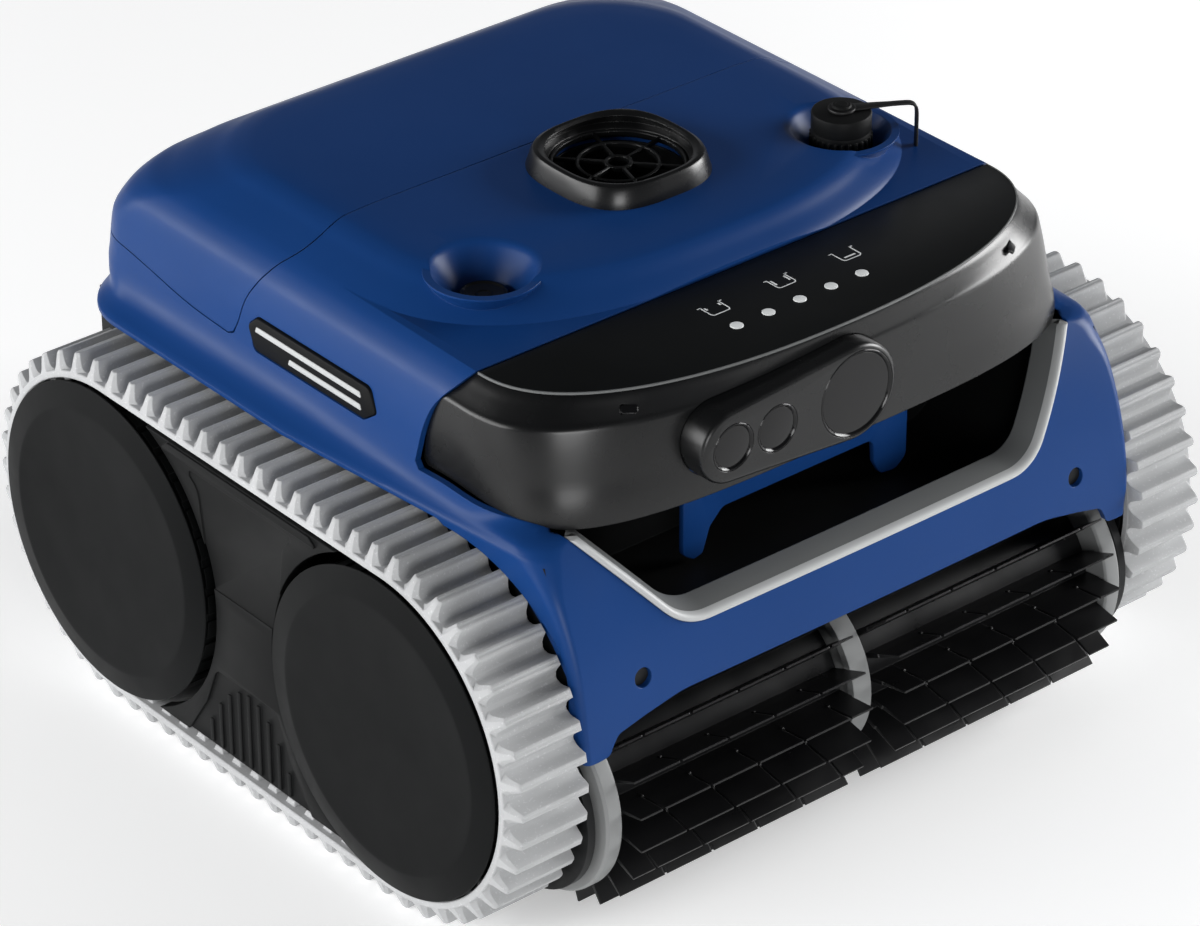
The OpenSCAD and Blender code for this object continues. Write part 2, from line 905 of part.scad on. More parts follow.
// Point of the belt loop in side view, s along the band at radius belt_r, at radius r
function belt_at(s, r) =
    let (
        arc = PI * belt_r,
        t = ((s % belt_len) + belt_len) % belt_len
    )
    t < wheel_base ? [front_y + t, axle_z - r]
    : t < wheel_base + arc ?
        let (a = -90 + 180 * (t - wheel_base) / arc)
        [rear_y + r * cos(a), axle_z + r * sin(a)]
    : t < 2 * wheel_base + arc ? [rear_y - (t - wheel_base - arc), axle_z + r]
    : let (a = 90 + 180 * (t - 2 * wheel_base - arc) / arc)
        [front_y + r * cos(a), axle_z + r * sin(a)];

// Toothed closed outline: teeth from radius r0 to r1, half widths w0 and w1
module belt_outline(r0, r1, w0, w1) {
    step = belt_len / lug_n;
    polygon([for (i = [0:lug_n - 1])
        let (s = (i + 0.5) * step)
        each [
            belt_at(s - w0, r0), belt_at(s - w1, r1),
            belt_at(s + w1, r1), belt_at(s + w0, r0)
        ]]);
}

module track_belt() {
    difference() {
        along_x(belt_in, belt_w) belt_outline(belt_r, track_r, 4, 1.9);
        along_x(belt_in - 1, belt_w + 2)
            belt_outline(belt_ri - tooth_h, belt_ri, 3.6, 3);
    }
}

module right_track() {
    color("#b4b5b5") track_belt();
}

module left_track() {
    color("#b4b5b5") left() track_belt();
}

// Hourglass plate between the two wheels of the right-hand side
module side_cover() {
    inner_r = belt_ri - tooth_h - 1;
    difference() {
        union() {
            translate([wheel_out - 6, front_y, axle_z - inner_r])
                cube([6, wheel_base, 2 * inner_r]);
            bar_x(frame_out, wheel_out - 6, 0, axle_z, 10);
            for (s = [-1, 1])
                bar_x(frame_out, wheel_out - 6, s * 16, axle_z, 5);
            translate([wheel_out, -44, axle_z + inner_r - 5]) cube([2, 88, 4]);
            for (y = [-18:6:18])
                translate([wheel_out, y - 1, axle_z - 62]) cube([1.4, 2, 30]);
        }
        for (y = [front_y, rear_y])
            bar_x(wheel_out - 8, wheel_out + 4, y, axle_z, cover_r + 4);
    }
}

module right_side_cover() {
    color("#1d1f21") side_cover();
}

module left_side_cover() {
    color("#1d1f21") left() side_cover();
}

// ---------- brush ----------

brush_mid = 8;

// Right-hand brush half: shaft, core and straight blades in one moulding
module brush_half() {
    color("#141517") {
        difference() {
            union() {
                bar_x(brush_mid, brush_len, brush_y, brush_z, brush_core_r);
                for (i = [0:blade_n - 1])
                    translate([brush_mid + 1, brush_y, brush_z]) rotate([i * 360 / blade_n, 0, 0])
                        translate([0, -1, brush_core_r - 2])
                            cube([brush_len - brush_mid - 2, 2, brush_r - brush_core_r + 2]);
            }
            bar_x(brush_mid - 1, brush_len + 1, brush_y, brush_z, brush_core_r - 6);
        }
        bar_x(brush_mid + 4, brush_mid + 7, brush_y, brush_z, brush_core_r - 5);
        bar_x(brush_len - 7, brush_len - 4, brush_y, brush_z, brush_core_r - 5);
        bar_x(brush_mid - 6, wheel_in + gear_w, brush_y, brush_z, brush_shaft_r);
    }
}

module right_brush() {
    brush_half();
}

module left_brush() {
    left() brush_half();
}

module brush_disc() {
    difference() {
        bar_x(brush_len, half_w - 3, brush_y, brush_z, 48);
        bar_x(brush_len - 1, half_w - 6, brush_y, brush_z, 34);
        bar_x(brush_len - 1, half_w, brush_y, brush_z, brush_shaft_r);
    }
}

module right_brush_disc() {
    color("#9ea2a3") brush_disc();
}

module left_brush_disc() {
    color("#9ea2a3") left() brush_disc();
}

module brush_gear() {
    phase = atan2(axle_z - brush_z, front_y - brush_y);
    turn = 180 / brush_teeth + phase + phase * wheel_teeth / brush_teeth;
    gear_x(wheel_in, brush_y, brush_z, brush_teeth, turn, brush_shaft_r);
}

module right_brush_gear() {
    color("#d8d4c4") brush_gear();
}

module left_brush_gear() {
    color("#d8d4c4") left() brush_gear();
}

// Grey ring that carries the inner ends of both brush halves, hung from the hood above
module brush_bearing() {
    color("#a4a8a8")
    difference() {
        union() {
            bar_x(-5, 5, brush_y, brush_z, 41);
            intersection() {
                translate([-5, brush_y - 6, brush_z]) cube([10, 12, hood_r]);
                bar_x(-5, 5, brush_y, brush_z, hood_r);
            }
        }
        bar_x(-6, 6, brush_y, brush_z, brush_shaft_r + run_fit);
        difference() {
            bar_x(-6, -2, brush_y, brush_z, 37);
            bar_x(-7, 0, brush_y, brush_z, 12);
        }
        difference() {
            bar_x(2, 6, brush_y, brush_z, 37);
            bar_x(0, 7, brush_y, brush_z, 12);
        }
    }
}

// ---------- filter ----------

mouth_x = 50;
flap_r = 2;
flap_y = riser_y - 11;
flap_z = riser_top + basket_wall + 0.3 + flap_r;

module filter_basket() {
    color("#4b4f53")
    difference() {
        union() {
            difference() {
                translate([-basket_x, basket_y0, riser_top])
                    cube([2 * basket_x, basket_y1 - basket_y0, basket_z1 - riser_top]);
                translate([-basket_x + basket_wall, basket_y0 + basket_wall, riser_top + basket_wall])
                    cube([2 * (basket_x - basket_wall), basket_y1 - basket_y0 - 2 * basket_wall,
                        basket_z1]);
                translate([-mouth_x, riser_y - 14, riser_top - 1]) cube([2 * mouth_x, 28, 10]);
                filter_windows(10, 0);
            }
            // ears that carry the flap
            for (s = [-1, 1])
                translate([s * (mouth_x + 2.5) - 2.5, flap_y - 4, riser_top + 1])
                    cube([5, 8, flap_z + 4 - riser_top - 1]);
        }
        bar_x(-mouth_x - 4, mouth_x + 4, flap_y, flap_z, flap_r + run_fit);
    }
}

// Window openings in the basket's end walls, t thick
module filter_windows(t, shift) {
    for (s = [-1, 1])
        for (k = [0:2])
            translate([s * (basket_x - shift) - t / 2, basket_y0 + 10 + k * 34, riser_top + 16])
                cube([t, 28, basket_z1 - riser_top - 32]);
}

module filter_mesh() {
    color("#c9ccc8") filter_windows(1, basket_wall / 2);
}

module intake_flap() {
    color("#3a3d3f") {
        translate([-mouth_x + 0.6, flap_y, flap_z - flap_r])
            cube([2 * mouth_x - 1.2, 26, flap_r]);
        bar_x(-mouth_x - 3.6, mouth_x + 3.6, flap_y, flap_z, flap_r);
    }
}

// ---------- buttons, socket, lights ----------

module button_bezel() {
    color("#0c0c0d")
    translate([-well_x, well_y, well_z - 10]) {
        difference() {
            union() {
                cylinder(r = 16, h = 3);
                cylinder(r = 13, h = 8);
            }
            translate([0, 0, 2]) cylinder(r = 11, h = 10);
        }
    }
}

module power_button() {
    color("#16171a")
    translate([-well_x, well_y, well_z - 8 + button_travel + 0.3])
        cylinder(r = 11 - 0.4, h = 7);
}

module charging_socket() {
    color("#131416")
    translate([well_x, well_y, well_z - 10]) {
        difference() {
            union() {
                cylinder(r = 16, h = 3);
                cylinder(r = socket_r, h = 22);
            }
            translate([0, 0, 3]) cylinder(r = 8, h = 20);
        }
        for (a = [0:120:240])
            rotate([0, 0, a]) translate([4, 0, 2]) cylinder(r = 1.2, h = 10);
    }
}

module charging_cap() {
    color("#0f1011")
    translate([well_x, well_y, well_z + 3]) {
        difference() {
            union() {
                cylinder(r = 13.2, h = 18);
                for (a = [0:15:345])
                    rotate([0, 0, a]) translate([13, 0, 0.5]) cylinder(r = 1, h = 8, $fn = 16);
                cylinder(r = 3, h = 20.6);
                translate([0, 0, 19.9]) cylinder(r = 4.5, h = 1.4);
            }
            translate([0, 0, -1]) cylinder(r = socket_r + run_fit, h = 13);
        }
    }
}

module cap_strap() {
    color("#0f1011")
    translate([well_x, well_y, well_z + 21.3]) rotate([0, 0, -28.5]) {
        difference() {
            union() {
                cylinder(r = 6, h = 1.3);
                translate([0, -3, 0]) cube([34.8, 6, 1.3]);
            }
            translate([0, 0, -1]) cylinder(r = 3.3, h = 4);
        }
        translate([33.5, -3, -21.5]) cube([1.3, 6, 22.8]);
    }
}

module right_side_strip() {
    color("#2a2c2d") side_strip_solid();
}

module left_side_strip() {
    color("#2a2c2d") left() side_strip_solid();
}

module housing_screws() {
    color("#8f9398") {
        for (s = [-1, 1]) {
            translate([s * (half_w - 28.2), apron_y(122) + apron_t + 2, 122]) rotate([90, 0, 0])
                cylinder(r = 4.2, h = 3);
        }
    }
}

lower_hull();
bottom_plate();
left_side_frame();
right_side_frame();
upper_shell();
filter_lid();
lid_hinge_pin();
visor();
control_panel();
status_lights();
level_windows();
sensor_bar();
sensor_lenses();
handle_trim();
handle_liner();
outlet_rim();
outlet_grille();
outlet_duct();
propeller();
pump_motor();
electronics_box();
box_cover();
battery_pack();
control_board();
left_drive_motor();
right_drive_motor();
left_motor_pinion();
right_motor_pinion();
wheel_axles();
front_left_wheel();
front_right_wheel();
rear_left_wheel();
rear_right_wheel();
front_left_cover();
front_right_cover();
rear_left_cover();
rear_right_cover();
left_track();
right_track();
left_side_cover();
right_side_cover();
left_brush();
right_brush();
left_brush_disc();
right_brush_disc();
left_brush_gear();
right_brush_gear();
brush_bearing();
filter_basket();
filter_mesh();
intake_flap();
button_bezel();
power_button();
charging_socket();
charging_cap();
cap_strap();
left_side_strip();
right_side_strip();
housing_screws();
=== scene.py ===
import math

import bmesh
import bpy
import numpy as np
from mathutils import Matrix, Vector


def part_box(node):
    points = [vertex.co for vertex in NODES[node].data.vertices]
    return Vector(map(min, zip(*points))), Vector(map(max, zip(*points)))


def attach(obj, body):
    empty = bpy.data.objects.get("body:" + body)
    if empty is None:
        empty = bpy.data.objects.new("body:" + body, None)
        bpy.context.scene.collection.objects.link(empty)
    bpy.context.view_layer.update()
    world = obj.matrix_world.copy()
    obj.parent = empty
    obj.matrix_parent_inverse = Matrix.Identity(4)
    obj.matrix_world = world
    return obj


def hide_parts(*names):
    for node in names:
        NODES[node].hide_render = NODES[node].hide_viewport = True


# Robotic pool cleaner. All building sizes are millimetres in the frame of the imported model;
# new_object() turns them into metres. X is the width, the front faces -Y, Z is up.

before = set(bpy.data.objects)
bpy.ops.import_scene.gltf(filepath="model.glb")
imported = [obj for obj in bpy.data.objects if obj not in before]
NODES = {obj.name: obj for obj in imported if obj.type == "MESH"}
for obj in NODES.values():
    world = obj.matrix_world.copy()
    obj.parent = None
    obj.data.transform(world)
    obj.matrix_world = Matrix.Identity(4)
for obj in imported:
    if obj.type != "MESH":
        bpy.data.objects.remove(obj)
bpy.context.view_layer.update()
MM = 0.001


def node_box(node):
    low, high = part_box(node)
    return low / MM, high / MM


def middle(node, axis):
    low, high = node_box(node)
    return (low[axis] + high[axis]) / 2


# ---------- driving sizes, read from the frame ----------

HULL_HIGH = node_box("lower_hull")[1]
TRACK_LOW, TRACK_HIGH = node_box("right_track")
HALF_W = HULL_HIGH.x
TRACK_R = TRACK_HIGH.z / 2
FRONT_Y = TRACK_LOW.y + TRACK_R
REAR_Y = TRACK_HIGH.y - TRACK_R
AXLE_Z = TRACK_R
DECK_Z = HULL_HIGH.z
TOP_Z = node_box("filter_lid")[1].z
PANEL_Z = node_box("control_panel")[0].z + 1
VISOR_LOW = DECK_Z + 7.5
NOSE_Y = FRONT_Y + 3
OUTLET_Y = middle("propeller", 1)
WELL_X, WELL_Y = middle("charging_cap", 0), middle("charging_cap", 1)
WELL_Z = TOP_Z - 14
SEAM_Y = 27
BELT_IN, BELT_OUT = TRACK_LOW.x, TRACK_HIGH.x
APRON_Z = 90
SHELL_T = 3.0
WELL_R = 23.3
FAR_X = HALF_W + 60
CAP_AXIS, BUTTON_AXIS = (WELL_X, WELL_Y, 0), (-WELL_X, WELL_Y, 0)


# ---------- mesh helpers ----------

def new_object(name, verts, faces):
    mesh = bpy.data.meshes.new(name)
    mesh.from_pydata([Vector(v) * MM for v in verts], [], faces)
    mesh.validate()
    obj = bpy.data.objects.new(name, mesh)
    bpy.context.scene.collection.objects.link(obj)
    face_outwards(obj)
    return obj


def face_outwards(obj):
    bm = bmesh.new()
    bm.from_mesh(obj.data)
    bmesh.ops.recalc_face_normals(bm, faces=bm.faces)
    bm.to_mesh(obj.data)
    bm.free()


def bake(obj):
    """Applies the modifiers of obj to its mesh."""
    graph = bpy.context.evaluated_depsgraph_get()
    mesh = bpy.data.meshes.new_from_object(obj.evaluated_get(graph))
    obj.modifiers.clear()
    obj.data = mesh
    return obj


def boolean(obj, tool, operation):
    modifier = obj.modifiers.new("boolean", "BOOLEAN")
    modifier.operation = operation
    modifier.solver = "MANIFOLD"
    modifier.object = tool
    bake(obj)
    bpy.data.objects.remove(tool)
    return obj


def cut(obj, *tools):
    for tool in tools:
        boolean(obj, tool, "DIFFERENCE")
    return obj


def add(obj, *tools):
    for tool in tools:
        boolean(obj, tool, "UNION")
    return obj


def keep(obj, *tools):
    for tool in tools:
        boolean(obj, tool, "INTERSECT")
    return obj


def copy_of(obj, name):
    twin = bpy.data.objects.new(name, obj.data.copy())
    bpy.context.scene.collection.objects.link(twin)
    return twin


def round_edges(obj, width, segments=2):
    modifier = obj.modifiers.new("bevel", "BEVEL")
    modifier.width = width * MM
    modifier.segments = segments
    modifier.limit_method = "ANGLE"
    modifier.angle_limit = math.radians(40)
    return bake(obj)


def shade(obj, angle=32):
    obj.data.shade_smooth()
    obj.data.set_sharp_from_angle(angle=math.radians(angle))
    return obj


def joined(name, *parts):
    """One object from several; their meshes stay separate islands."""
    bm = bmesh.new()
    for part in parts:
        bm.from_mesh(part.data)
        bpy.data.objects.remove(part)
    mesh = bpy.data.meshes.new(name)
    bm.to_mesh(mesh)
    bm.free()
    obj = bpy.data.objects.new(name, mesh)
    bpy.context.scene.collection.objects.link(obj)
    return obj


def mirrored(obj, name):
    """A copy of obj on the other side of the middle plane."""
    twin = copy_of(obj, name)
    twin.data.transform(Matrix.Diagonal((-1, 1, 1, 1)))
    twin.data.flip_normals()
    return twin


def turned(obj, angle, axis, place):
    """Turns obj about the origin, then moves it to its place."""
    obj.data.transform(Matrix.Translation(Vector(place) * MM) @ Matrix.Rotation(angle, 4, axis))
    return obj


def prism(name, outline, axis, low, high):
    """Solid from a closed outline pushed along an axis. The outline is in the other two axes, in order."""
    def place(p, t):
        return {"x": (t, p[0], p[1]), "y": (p[0], t, p[1]), "z": (p[0], p[1], t)}[axis]
    n = len(outline)
    verts = [place(p, low) for p in outline] + [place(p, high) for p in outline]
    sides = [[i, (i + 1) % n, n + (i + 1) % n, n + i] for i in range(n)]
    return new_object(name, verts, [list(range(n)), list(range(2 * n - 1, n - 1, -1))] + sides)


def loft(name, rings, caps=True):
    n = len(rings[0])
    faces = []
    for k in range(len(rings) - 1):
        for i in range(n):
            j = (i + 1) % n
            faces.append([k * n + i, k * n + j, (k + 1) * n + j, (k + 1) * n + i])
    if caps:
        faces.append(list(range(n - 1, -1, -1)))
        faces.append([(len(rings) - 1) * n + i for i in range(n)])
    return new_object(name, [p for ring in rings for p in ring], faces)


def weld(obj):
    bm = bmesh.new()
    bm.from_mesh(obj.data)
    bmesh.ops.remove_doubles(bm, verts=bm.verts, dist=0.002 * MM)
    bmesh.ops.recalc_face_normals(bm, faces=bm.faces)
    bm.to_mesh(obj.data)
    bm.free()
    return obj


def hoop(name, rings):
    """Loft whose last section joins the first."""
    return weld(loft(name, rings + [rings[0]], caps=False))


AXIS_TURN = {
    "z": Matrix.Identity(3),
    "x": Matrix(((0, 0, 1), (1, 0, 0), (0, 1, 0))),
    "y": Matrix(((1, 0, 0), (0, 0, -1), (0, 1, 0))),
}


def lathe(name, profile, centre, axis="z", steps=96):
    """Turns a closed profile of (radius, height) about an axis. Heights on "y" grow towards the front."""
    turn = AXIS_TURN[axis]
    centre = Vector(centre)
    rings = []
    for radius, h in profile:
        circle = disc_outline(0, 0, max(radius, 1e-4), steps)
        rings.append([centre + turn @ Vector((x, y, h)) for x, y in circle])
    if profile[0][0] == 0 and profile[-1][0] == 0:
        return weld(loft(name, rings, caps=False))
    return hoop(name, rings)


def rounded(points, radius, steps=6):
    """Closed outline with its corners rounded. radius is one value, or one for each corner."""
    out = []
    n = len(points)
    for i in range(n):
        r = radius[i] if isinstance(radius, (list, tuple)) else radius
        p, a, b = (Vector(points[k % n]) for k in (i, i - 1, i + 1))
        to_a, to_b = (a - p).normalized(), (b - p).normalized()
        half = math.acos(max(-1, min(1, to_a.dot(to_b)))) / 2
        if r < 0.01 or half > math.radians(88):
            out.append(tuple(p))
            continue
        reach = min(r / math.tan(half), 0.49 * (a - p).length, 0.49 * (b - p).length)
        r = reach * math.tan(half)
        middle = p + (to_a + to_b).normalized() * (r / math.sin(half))
        start, end = p + to_a * reach - middle, p + to_b * reach - middle
        span = start.angle_signed(end)
        for k in range(steps + 1):
            t = -span * k / steps
            out.append((middle.x + start.x * math.cos(t) - start.y * math.sin(t),
                        middle.y + start.x * math.sin(t) + start.y * math.cos(t)))
    return out


def rectangle(x0, y0, x1, y1):
    return [(x0, y0), (x1, y0), (x1, y1), (x0, y1)]


def level(outline, z):
    """Section at height z from an outline in X and Y."""
    return [(x, y, z) for x, y in outline]


def box(name, low, high, radius=0.0):
    obj = prism(name, rectangle(low[0], low[1], high[0], high[1]), "z", low[2], high[2])
    return round_edges(obj, radius) if radius else obj


def disc_outline(cx, cy, r, steps=48):
    return [(cx + r * math.cos(math.tau * i / steps), cy + r * math.sin(math.tau * i / steps))
            for i in range(steps)]


# ---------- materials ----------

def material(name, color, roughness, spread=0.05, tint=0.10, cloud=9.0, grain=1400.0, bump=0.06,
             edge=0.25, edge_width=0.6, metallic=0.0, shine=0.3, streaks=None, speckle=0.0):
    """Moulded, rubber or metal finish: clouded colour, grain, soft rounded edges that are rubbed lighter."""
    mat = bpy.data.materials.new(name)
    mat.use_nodes = True
    tree = mat.node_tree
    links, nodes = tree.links, tree.nodes
    shader = nodes["Principled BSDF"]
    shader.inputs["Metallic"].default_value = metallic
    shader.inputs["Specular IOR Level"].default_value = shine
    place = nodes.new("ShaderNodeTexCoord").outputs["Object"]

    def noise(scale, detail, source=place):
        node = nodes.new("ShaderNodeTexNoise")
        node.inputs["Scale"].default_value = scale
        node.inputs["Detail"].default_value = detail
        links.new(source, node.inputs["Vector"])
        return node.outputs["Fac"]

    def remap(value, low, high, start=0.3, stop=0.7):
        node = nodes.new("ShaderNodeMapRange")
        node.inputs["From Min"].default_value = start
        node.inputs["From Max"].default_value = stop
        node.inputs["To Min"].default_value = low
        node.inputs["To Max"].default_value = high
        links.new(value, node.inputs["Value"])
        return node.outputs["Result"]

    def mix(factor, a, b):
        node = nodes.new("ShaderNodeMix")
        node.data_type = "RGBA"
        links.new(factor, node.inputs["Factor"])
        for socket, value in ((node.inputs["A"], a), (node.inputs["B"], b)):
            if isinstance(value, tuple):
                socket.default_value = (*value, 1)
            else:
                links.new(value, socket)
        return node.outputs["Result"]

    dark = tuple(c * (1 - tint) for c in color)
    light = tuple(min(1, c * (1 + tint) + 0.002) for c in color)
    shown = mix(remap(noise(cloud, 4), 0, 1), dark, light)
    if speckle:
        fleck = remap(noise(grain * 0.35, 2), 0, speckle, 0.62, 0.70)
        shown = mix(fleck, shown, tuple(min(1, c * 1.8 + 0.03) for c in color))

    soft = nodes.new("ShaderNodeBevel")
    soft.samples = 4
    soft.inputs["Radius"].default_value = edge_width * MM
    sharp = nodes.new("ShaderNodeNewGeometry").outputs["Normal"]
    facing = nodes.new("ShaderNodeVectorMath")
    facing.operation = "DOT_PRODUCT"
    links.new(soft.outputs["Normal"], facing.inputs[0])
    links.new(sharp, facing.inputs[1])
    rubbed = remap(facing.outputs["Value"], edge, 0, 0.80, 0.985)
    wear = nodes.new("ShaderNodeMath")
    wear.operation = "MULTIPLY"
    links.new(rubbed, wear.inputs[0])
    links.new(remap(noise(90, 3), 0.35, 1), wear.inputs[1])
    shown = mix(wear.outputs["Value"], shown, tuple(min(1, c * 1.7 + 0.05) for c in color))
    links.new(shown, shader.inputs["Base Color"])

    source = place
    if streaks:
        stretch = nodes.new("ShaderNodeMapping")
        stretch.inputs["Scale"].default_value = streaks
        links.new(place, stretch.inputs["Vector"])
        source = stretch.outputs["Vector"]
    links.new(remap(noise(cloud * 5, 5, source), roughness - spread, roughness + spread),
              shader.inputs["Roughness"])
    relief = nodes.new("ShaderNodeBump")
    relief.inputs["Strength"].default_value = bump
    relief.inputs["Distance"].default_value = 0.15 * MM
    links.new(noise(grain, 3, source), relief.inputs["Height"])
    links.new(soft.outputs["Normal"], relief.inputs["Normal"])
    links.new(relief.outputs["Normal"], shader.inputs["Normal"])
    return mat


BLUE = material("blue_shell", (0.0050, 0.0385, 0.160), 0.36, 0.03, 0.05, bump=0.03, edge=0.15, shine=0.13)
GLOSS = material("black_gloss", (0.003, 0.0032, 0.0035), 0.27, 0.03, 0.2, bump=0.008, shine=0.36)
PANEL = material("black_panel", (0.0035, 0.004, 0.0042), 0.38, 0.03, 0.15, bump=0.02, edge=0.6, shine=0.15)
MATT = material("black_matt", (0.0045, 0.0048, 0.005), 0.50, 0.05, 0.15, grain=2200, bump=0.14, shine=0.1)
HULL = material("hull_black", (0.006, 0.0065, 0.007), 0.52, 0.06, 0.15, grain=1600, bump=0.12, edge=0.2,
                shine=0.2)
WHEEL = material("wheel_black", (0.0036, 0.004, 0.0042), 0.44, 0.05, 0.12, grain=2600, bump=0.10, edge=0.28,
                 shine=0.05)
TRACK = material("track_rubber", (0.40, 0.405, 0.41), 0.62, 0.07, 0.10, cloud=22, grain=2400, bump=0.22,
                 edge=0.30, edge_width=0.5, speckle=0.25)
BRUSH = material("brush_rubber", (0.004, 0.004, 0.0045), 0.33, 0.06, 0.15, grain=1800, bump=0.08)
STRAP = material("strap_rubber", (0.006, 0.006, 0.0065), 0.45, 0.06, 0.15, grain=2000, bump=0.12, edge=0.2)
TRIM = material("grey_trim", (0.46, 0.47, 0.47), 0.42, 0.05, 0.06, grain=1800, bump=0.05, edge=0.35)
# Darker copy of the grey trim. On the grip trim's throat it is painted shade on the trim's inner face, which
# is the same grey part as the bead. It also makes the thin grey ring along the control panel's edge.
GREY_SHADE_AND_EDGE_LINE = material("grey_painted_shade_and_edge_line", (0.13, 0.135, 0.135), 0.45, 0.05, 0.06, grain=1800, edge=0.3)
GREY = material("grey_part", (0.22, 0.225, 0.225), 0.45, 0.05, 0.08, grain=1600, bump=0.08)
NYLON = material("gear_nylon", (0.55, 0.53, 0.44), 0.48, 0.05, 0.06, grain=1200)
WHITE = material("light_white", (0.80, 0.82, 0.82), 0.30, 0.03, 0.03, grain=900, bump=0.02, edge=0.1)
LENS = material("lens_dark", (0.003, 0.003, 0.0035), 0.10, 0.02, 0.2, grain=500, bump=0.004, edge=0.2)
STEEL = material("steel", (0.46, 0.47, 0.48), 0.30, 0.06, 0.06, grain=500, metallic=1.0, edge=0.2,
                 streaks=(0.05, 1, 1))
MOTOR = material("motor_grey", (0.06, 0.065, 0.07), 0.42, 0.06, 0.10, metallic=0.6, grain=900, bump=0.08)
BATTERY = material("battery_blue", (0.02, 0.085, 0.28), 0.35, 0.06, 0.12, grain=300, bump=0.12)
BOARD = material("board_green", (0.010, 0.11, 0.035), 0.40, 0.06, 0.15, grain=700, bump=0.10)
MESH = material("mesh_grey", (0.42, 0.44, 0.42), 0.70, 0.06, 0.12, grain=1500, bump=0.5)


def place_piece(obj, body, mat, slot, *replaced):
    """Rides obj on a body with its material, and hides the CAD nodes it stands for."""
    obj.data.materials.clear()
    obj.data.materials.append(mat)
    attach(obj, body)
    if replaced:
        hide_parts(*replaced)
    return obj


def place_pair(obj, name, body, mat, slot, *replaced, angle=32):
    """Places obj on the right and its mirror image on the left. {} in a name stands for the side."""
    for side, piece in (("left", mirrored(obj, name.format("left"))), ("right", obj)):
        piece.name = name.format(side)
        nodes = [node.format(side) for node in replaced]
        place_piece(shade(piece, angle), body.format(side), mat, slot, *nodes)


# ---------- the body surface ----------

def smooth_rows(rows, zs):
    """Monotone cubic through rows of (z, values...), sampled at zs."""
    table = np.array(rows, float)
    x, y = table[:, 0], table[:, 1:]
    h = np.diff(x)
    slope = np.diff(y, axis=0) / h[:, None]
    m = np.zeros_like(y)
    for i in range(1, len(x) - 1):
        for c in range(y.shape[1]):
            a, b = slope[i - 1, c], slope[i, c]
            if a * b > 0:
                w1, w2 = 2 * h[i] + h[i - 1], h[i] + 2 * h[i - 1]
                m[i, c] = (w1 + w2) / (w1 / a + w2 / b)
    m[0], m[-1] = slope[0], slope[-1]
    out = []
    for z in zs:
        i = int(np.clip(np.searchsorted(x, z) - 1, 0, len(x) - 2))
        t = (z - x[i]) / h[i]
        out.append((2 * t**3 - 3 * t**2 + 1) * y[i] + (t**3 - 2 * t**2 + t) * h[i] * m[i]
                   + (3 * t**2 - 2 * t**3) * y[i + 1] + (t**3 - t**2) * h[i] * m[i + 1])
    return out


def apron_y(z):
    """Front face of the apron in side view."""
    return FRONT_Y - 82 + 29 * max(0, (z - APRON_Z - 5) / (VISOR_LOW - APRON_Z - 5)) ** 2.2


SIDE_TAPER = 0.089

# z, half width, rear y, rear corner radius, taper of the sides towards the front
SIDE_ROWS = [
    (APRON_Z - 4, HALF_W + 18.4, REAR_Y + 64, 42, SIDE_TAPER),
    (APRON_Z + 6, HALF_W + 19.4, REAR_Y + 64, 42, SIDE_TAPER),
    (APRON_Z + 22, HALF_W + 21, REAR_Y + 64, 42, SIDE_TAPER),
    (DECK_Z - 40, HALF_W + 21, REAR_Y + 64, 42, SIDE_TAPER),
    (DECK_Z + 1.6, HALF_W + 21.3, REAR_Y + 64, 42, SIDE_TAPER),
    (DECK_Z + 2.6, HALF_W + 20.6, REAR_Y + 63.8, 42, SIDE_TAPER * 0.97),
    (DECK_Z + 4.5, HALF_W + 17.2, REAR_Y + 63.3, 40, SIDE_TAPER * 0.8),
    (DECK_Z + 8, HALF_W + 12.2, REAR_Y + 62.6, 36, SIDE_TAPER * 0.5),
    (DECK_Z + 13, HALF_W + 8.4, REAR_Y + 62, 27, SIDE_TAPER * 0.2),
    (DECK_Z + 20, HALF_W + 6, REAR_Y + 61.4, 22, 0),
    (DECK_Z + 40, HALF_W + 4.2, REAR_Y + 60, 23, 0),
    (DECK_Z + 50, HALF_W + 1.4, REAR_Y + 58.4, 30, 0),
    (DECK_Z + 58, HALF_W - 4.6, REAR_Y + 54.6, 38, 0),
    (DECK_Z + 62, HALF_W - 9.6, REAR_Y + 50, 46, 0),
    (DECK_Z + 64.4, HALF_W - 13.6, REAR_Y + 47, 48, 0),
    (DECK_Z + 69, HALF_W - 22, REAR_Y + 39, 50, 0),
    (DECK_Z + 74, HALF_W - 32, REAR_Y + 29, 50, 0),
    (DECK_Z + 75, HALF_W - 36, REAR_Y + 24, 48, 0),
    (TOP_Z, HALF_W - 52, REAR_Y + 6, 40, 0),
]
# z, corner radius between the apron and the fender
CORNER_ROWS = [(APRON_Z - 4, 3), (APRON_Z + 16, 3.5), (APRON_Z + 50, 4.5), (APRON_Z + 72, 6), (DECK_Z + 1, 13),
               (TOP_Z, 34)]
APRON_BOW = 1.5
# z, depth of the plateau's nose in front of the middle
PLATEAU_ROWS = [(DECK_Z + 62, 97.5), (DECK_Z + 63, 97), (DECK_Z + 69, 90.6), (DECK_Z + 74, 85),
                (DECK_Z + 75, 82.5), (TOP_Z, 70)]
SHOULDER_Z = DECK_Z + 61.6


def nose_point(a, b, n, angle):
    c, s = math.sin(angle), math.cos(angle)
    r = (abs(c / a) ** n + abs(s / b) ** n) ** (-1 / n)
    return r * c, -r * s


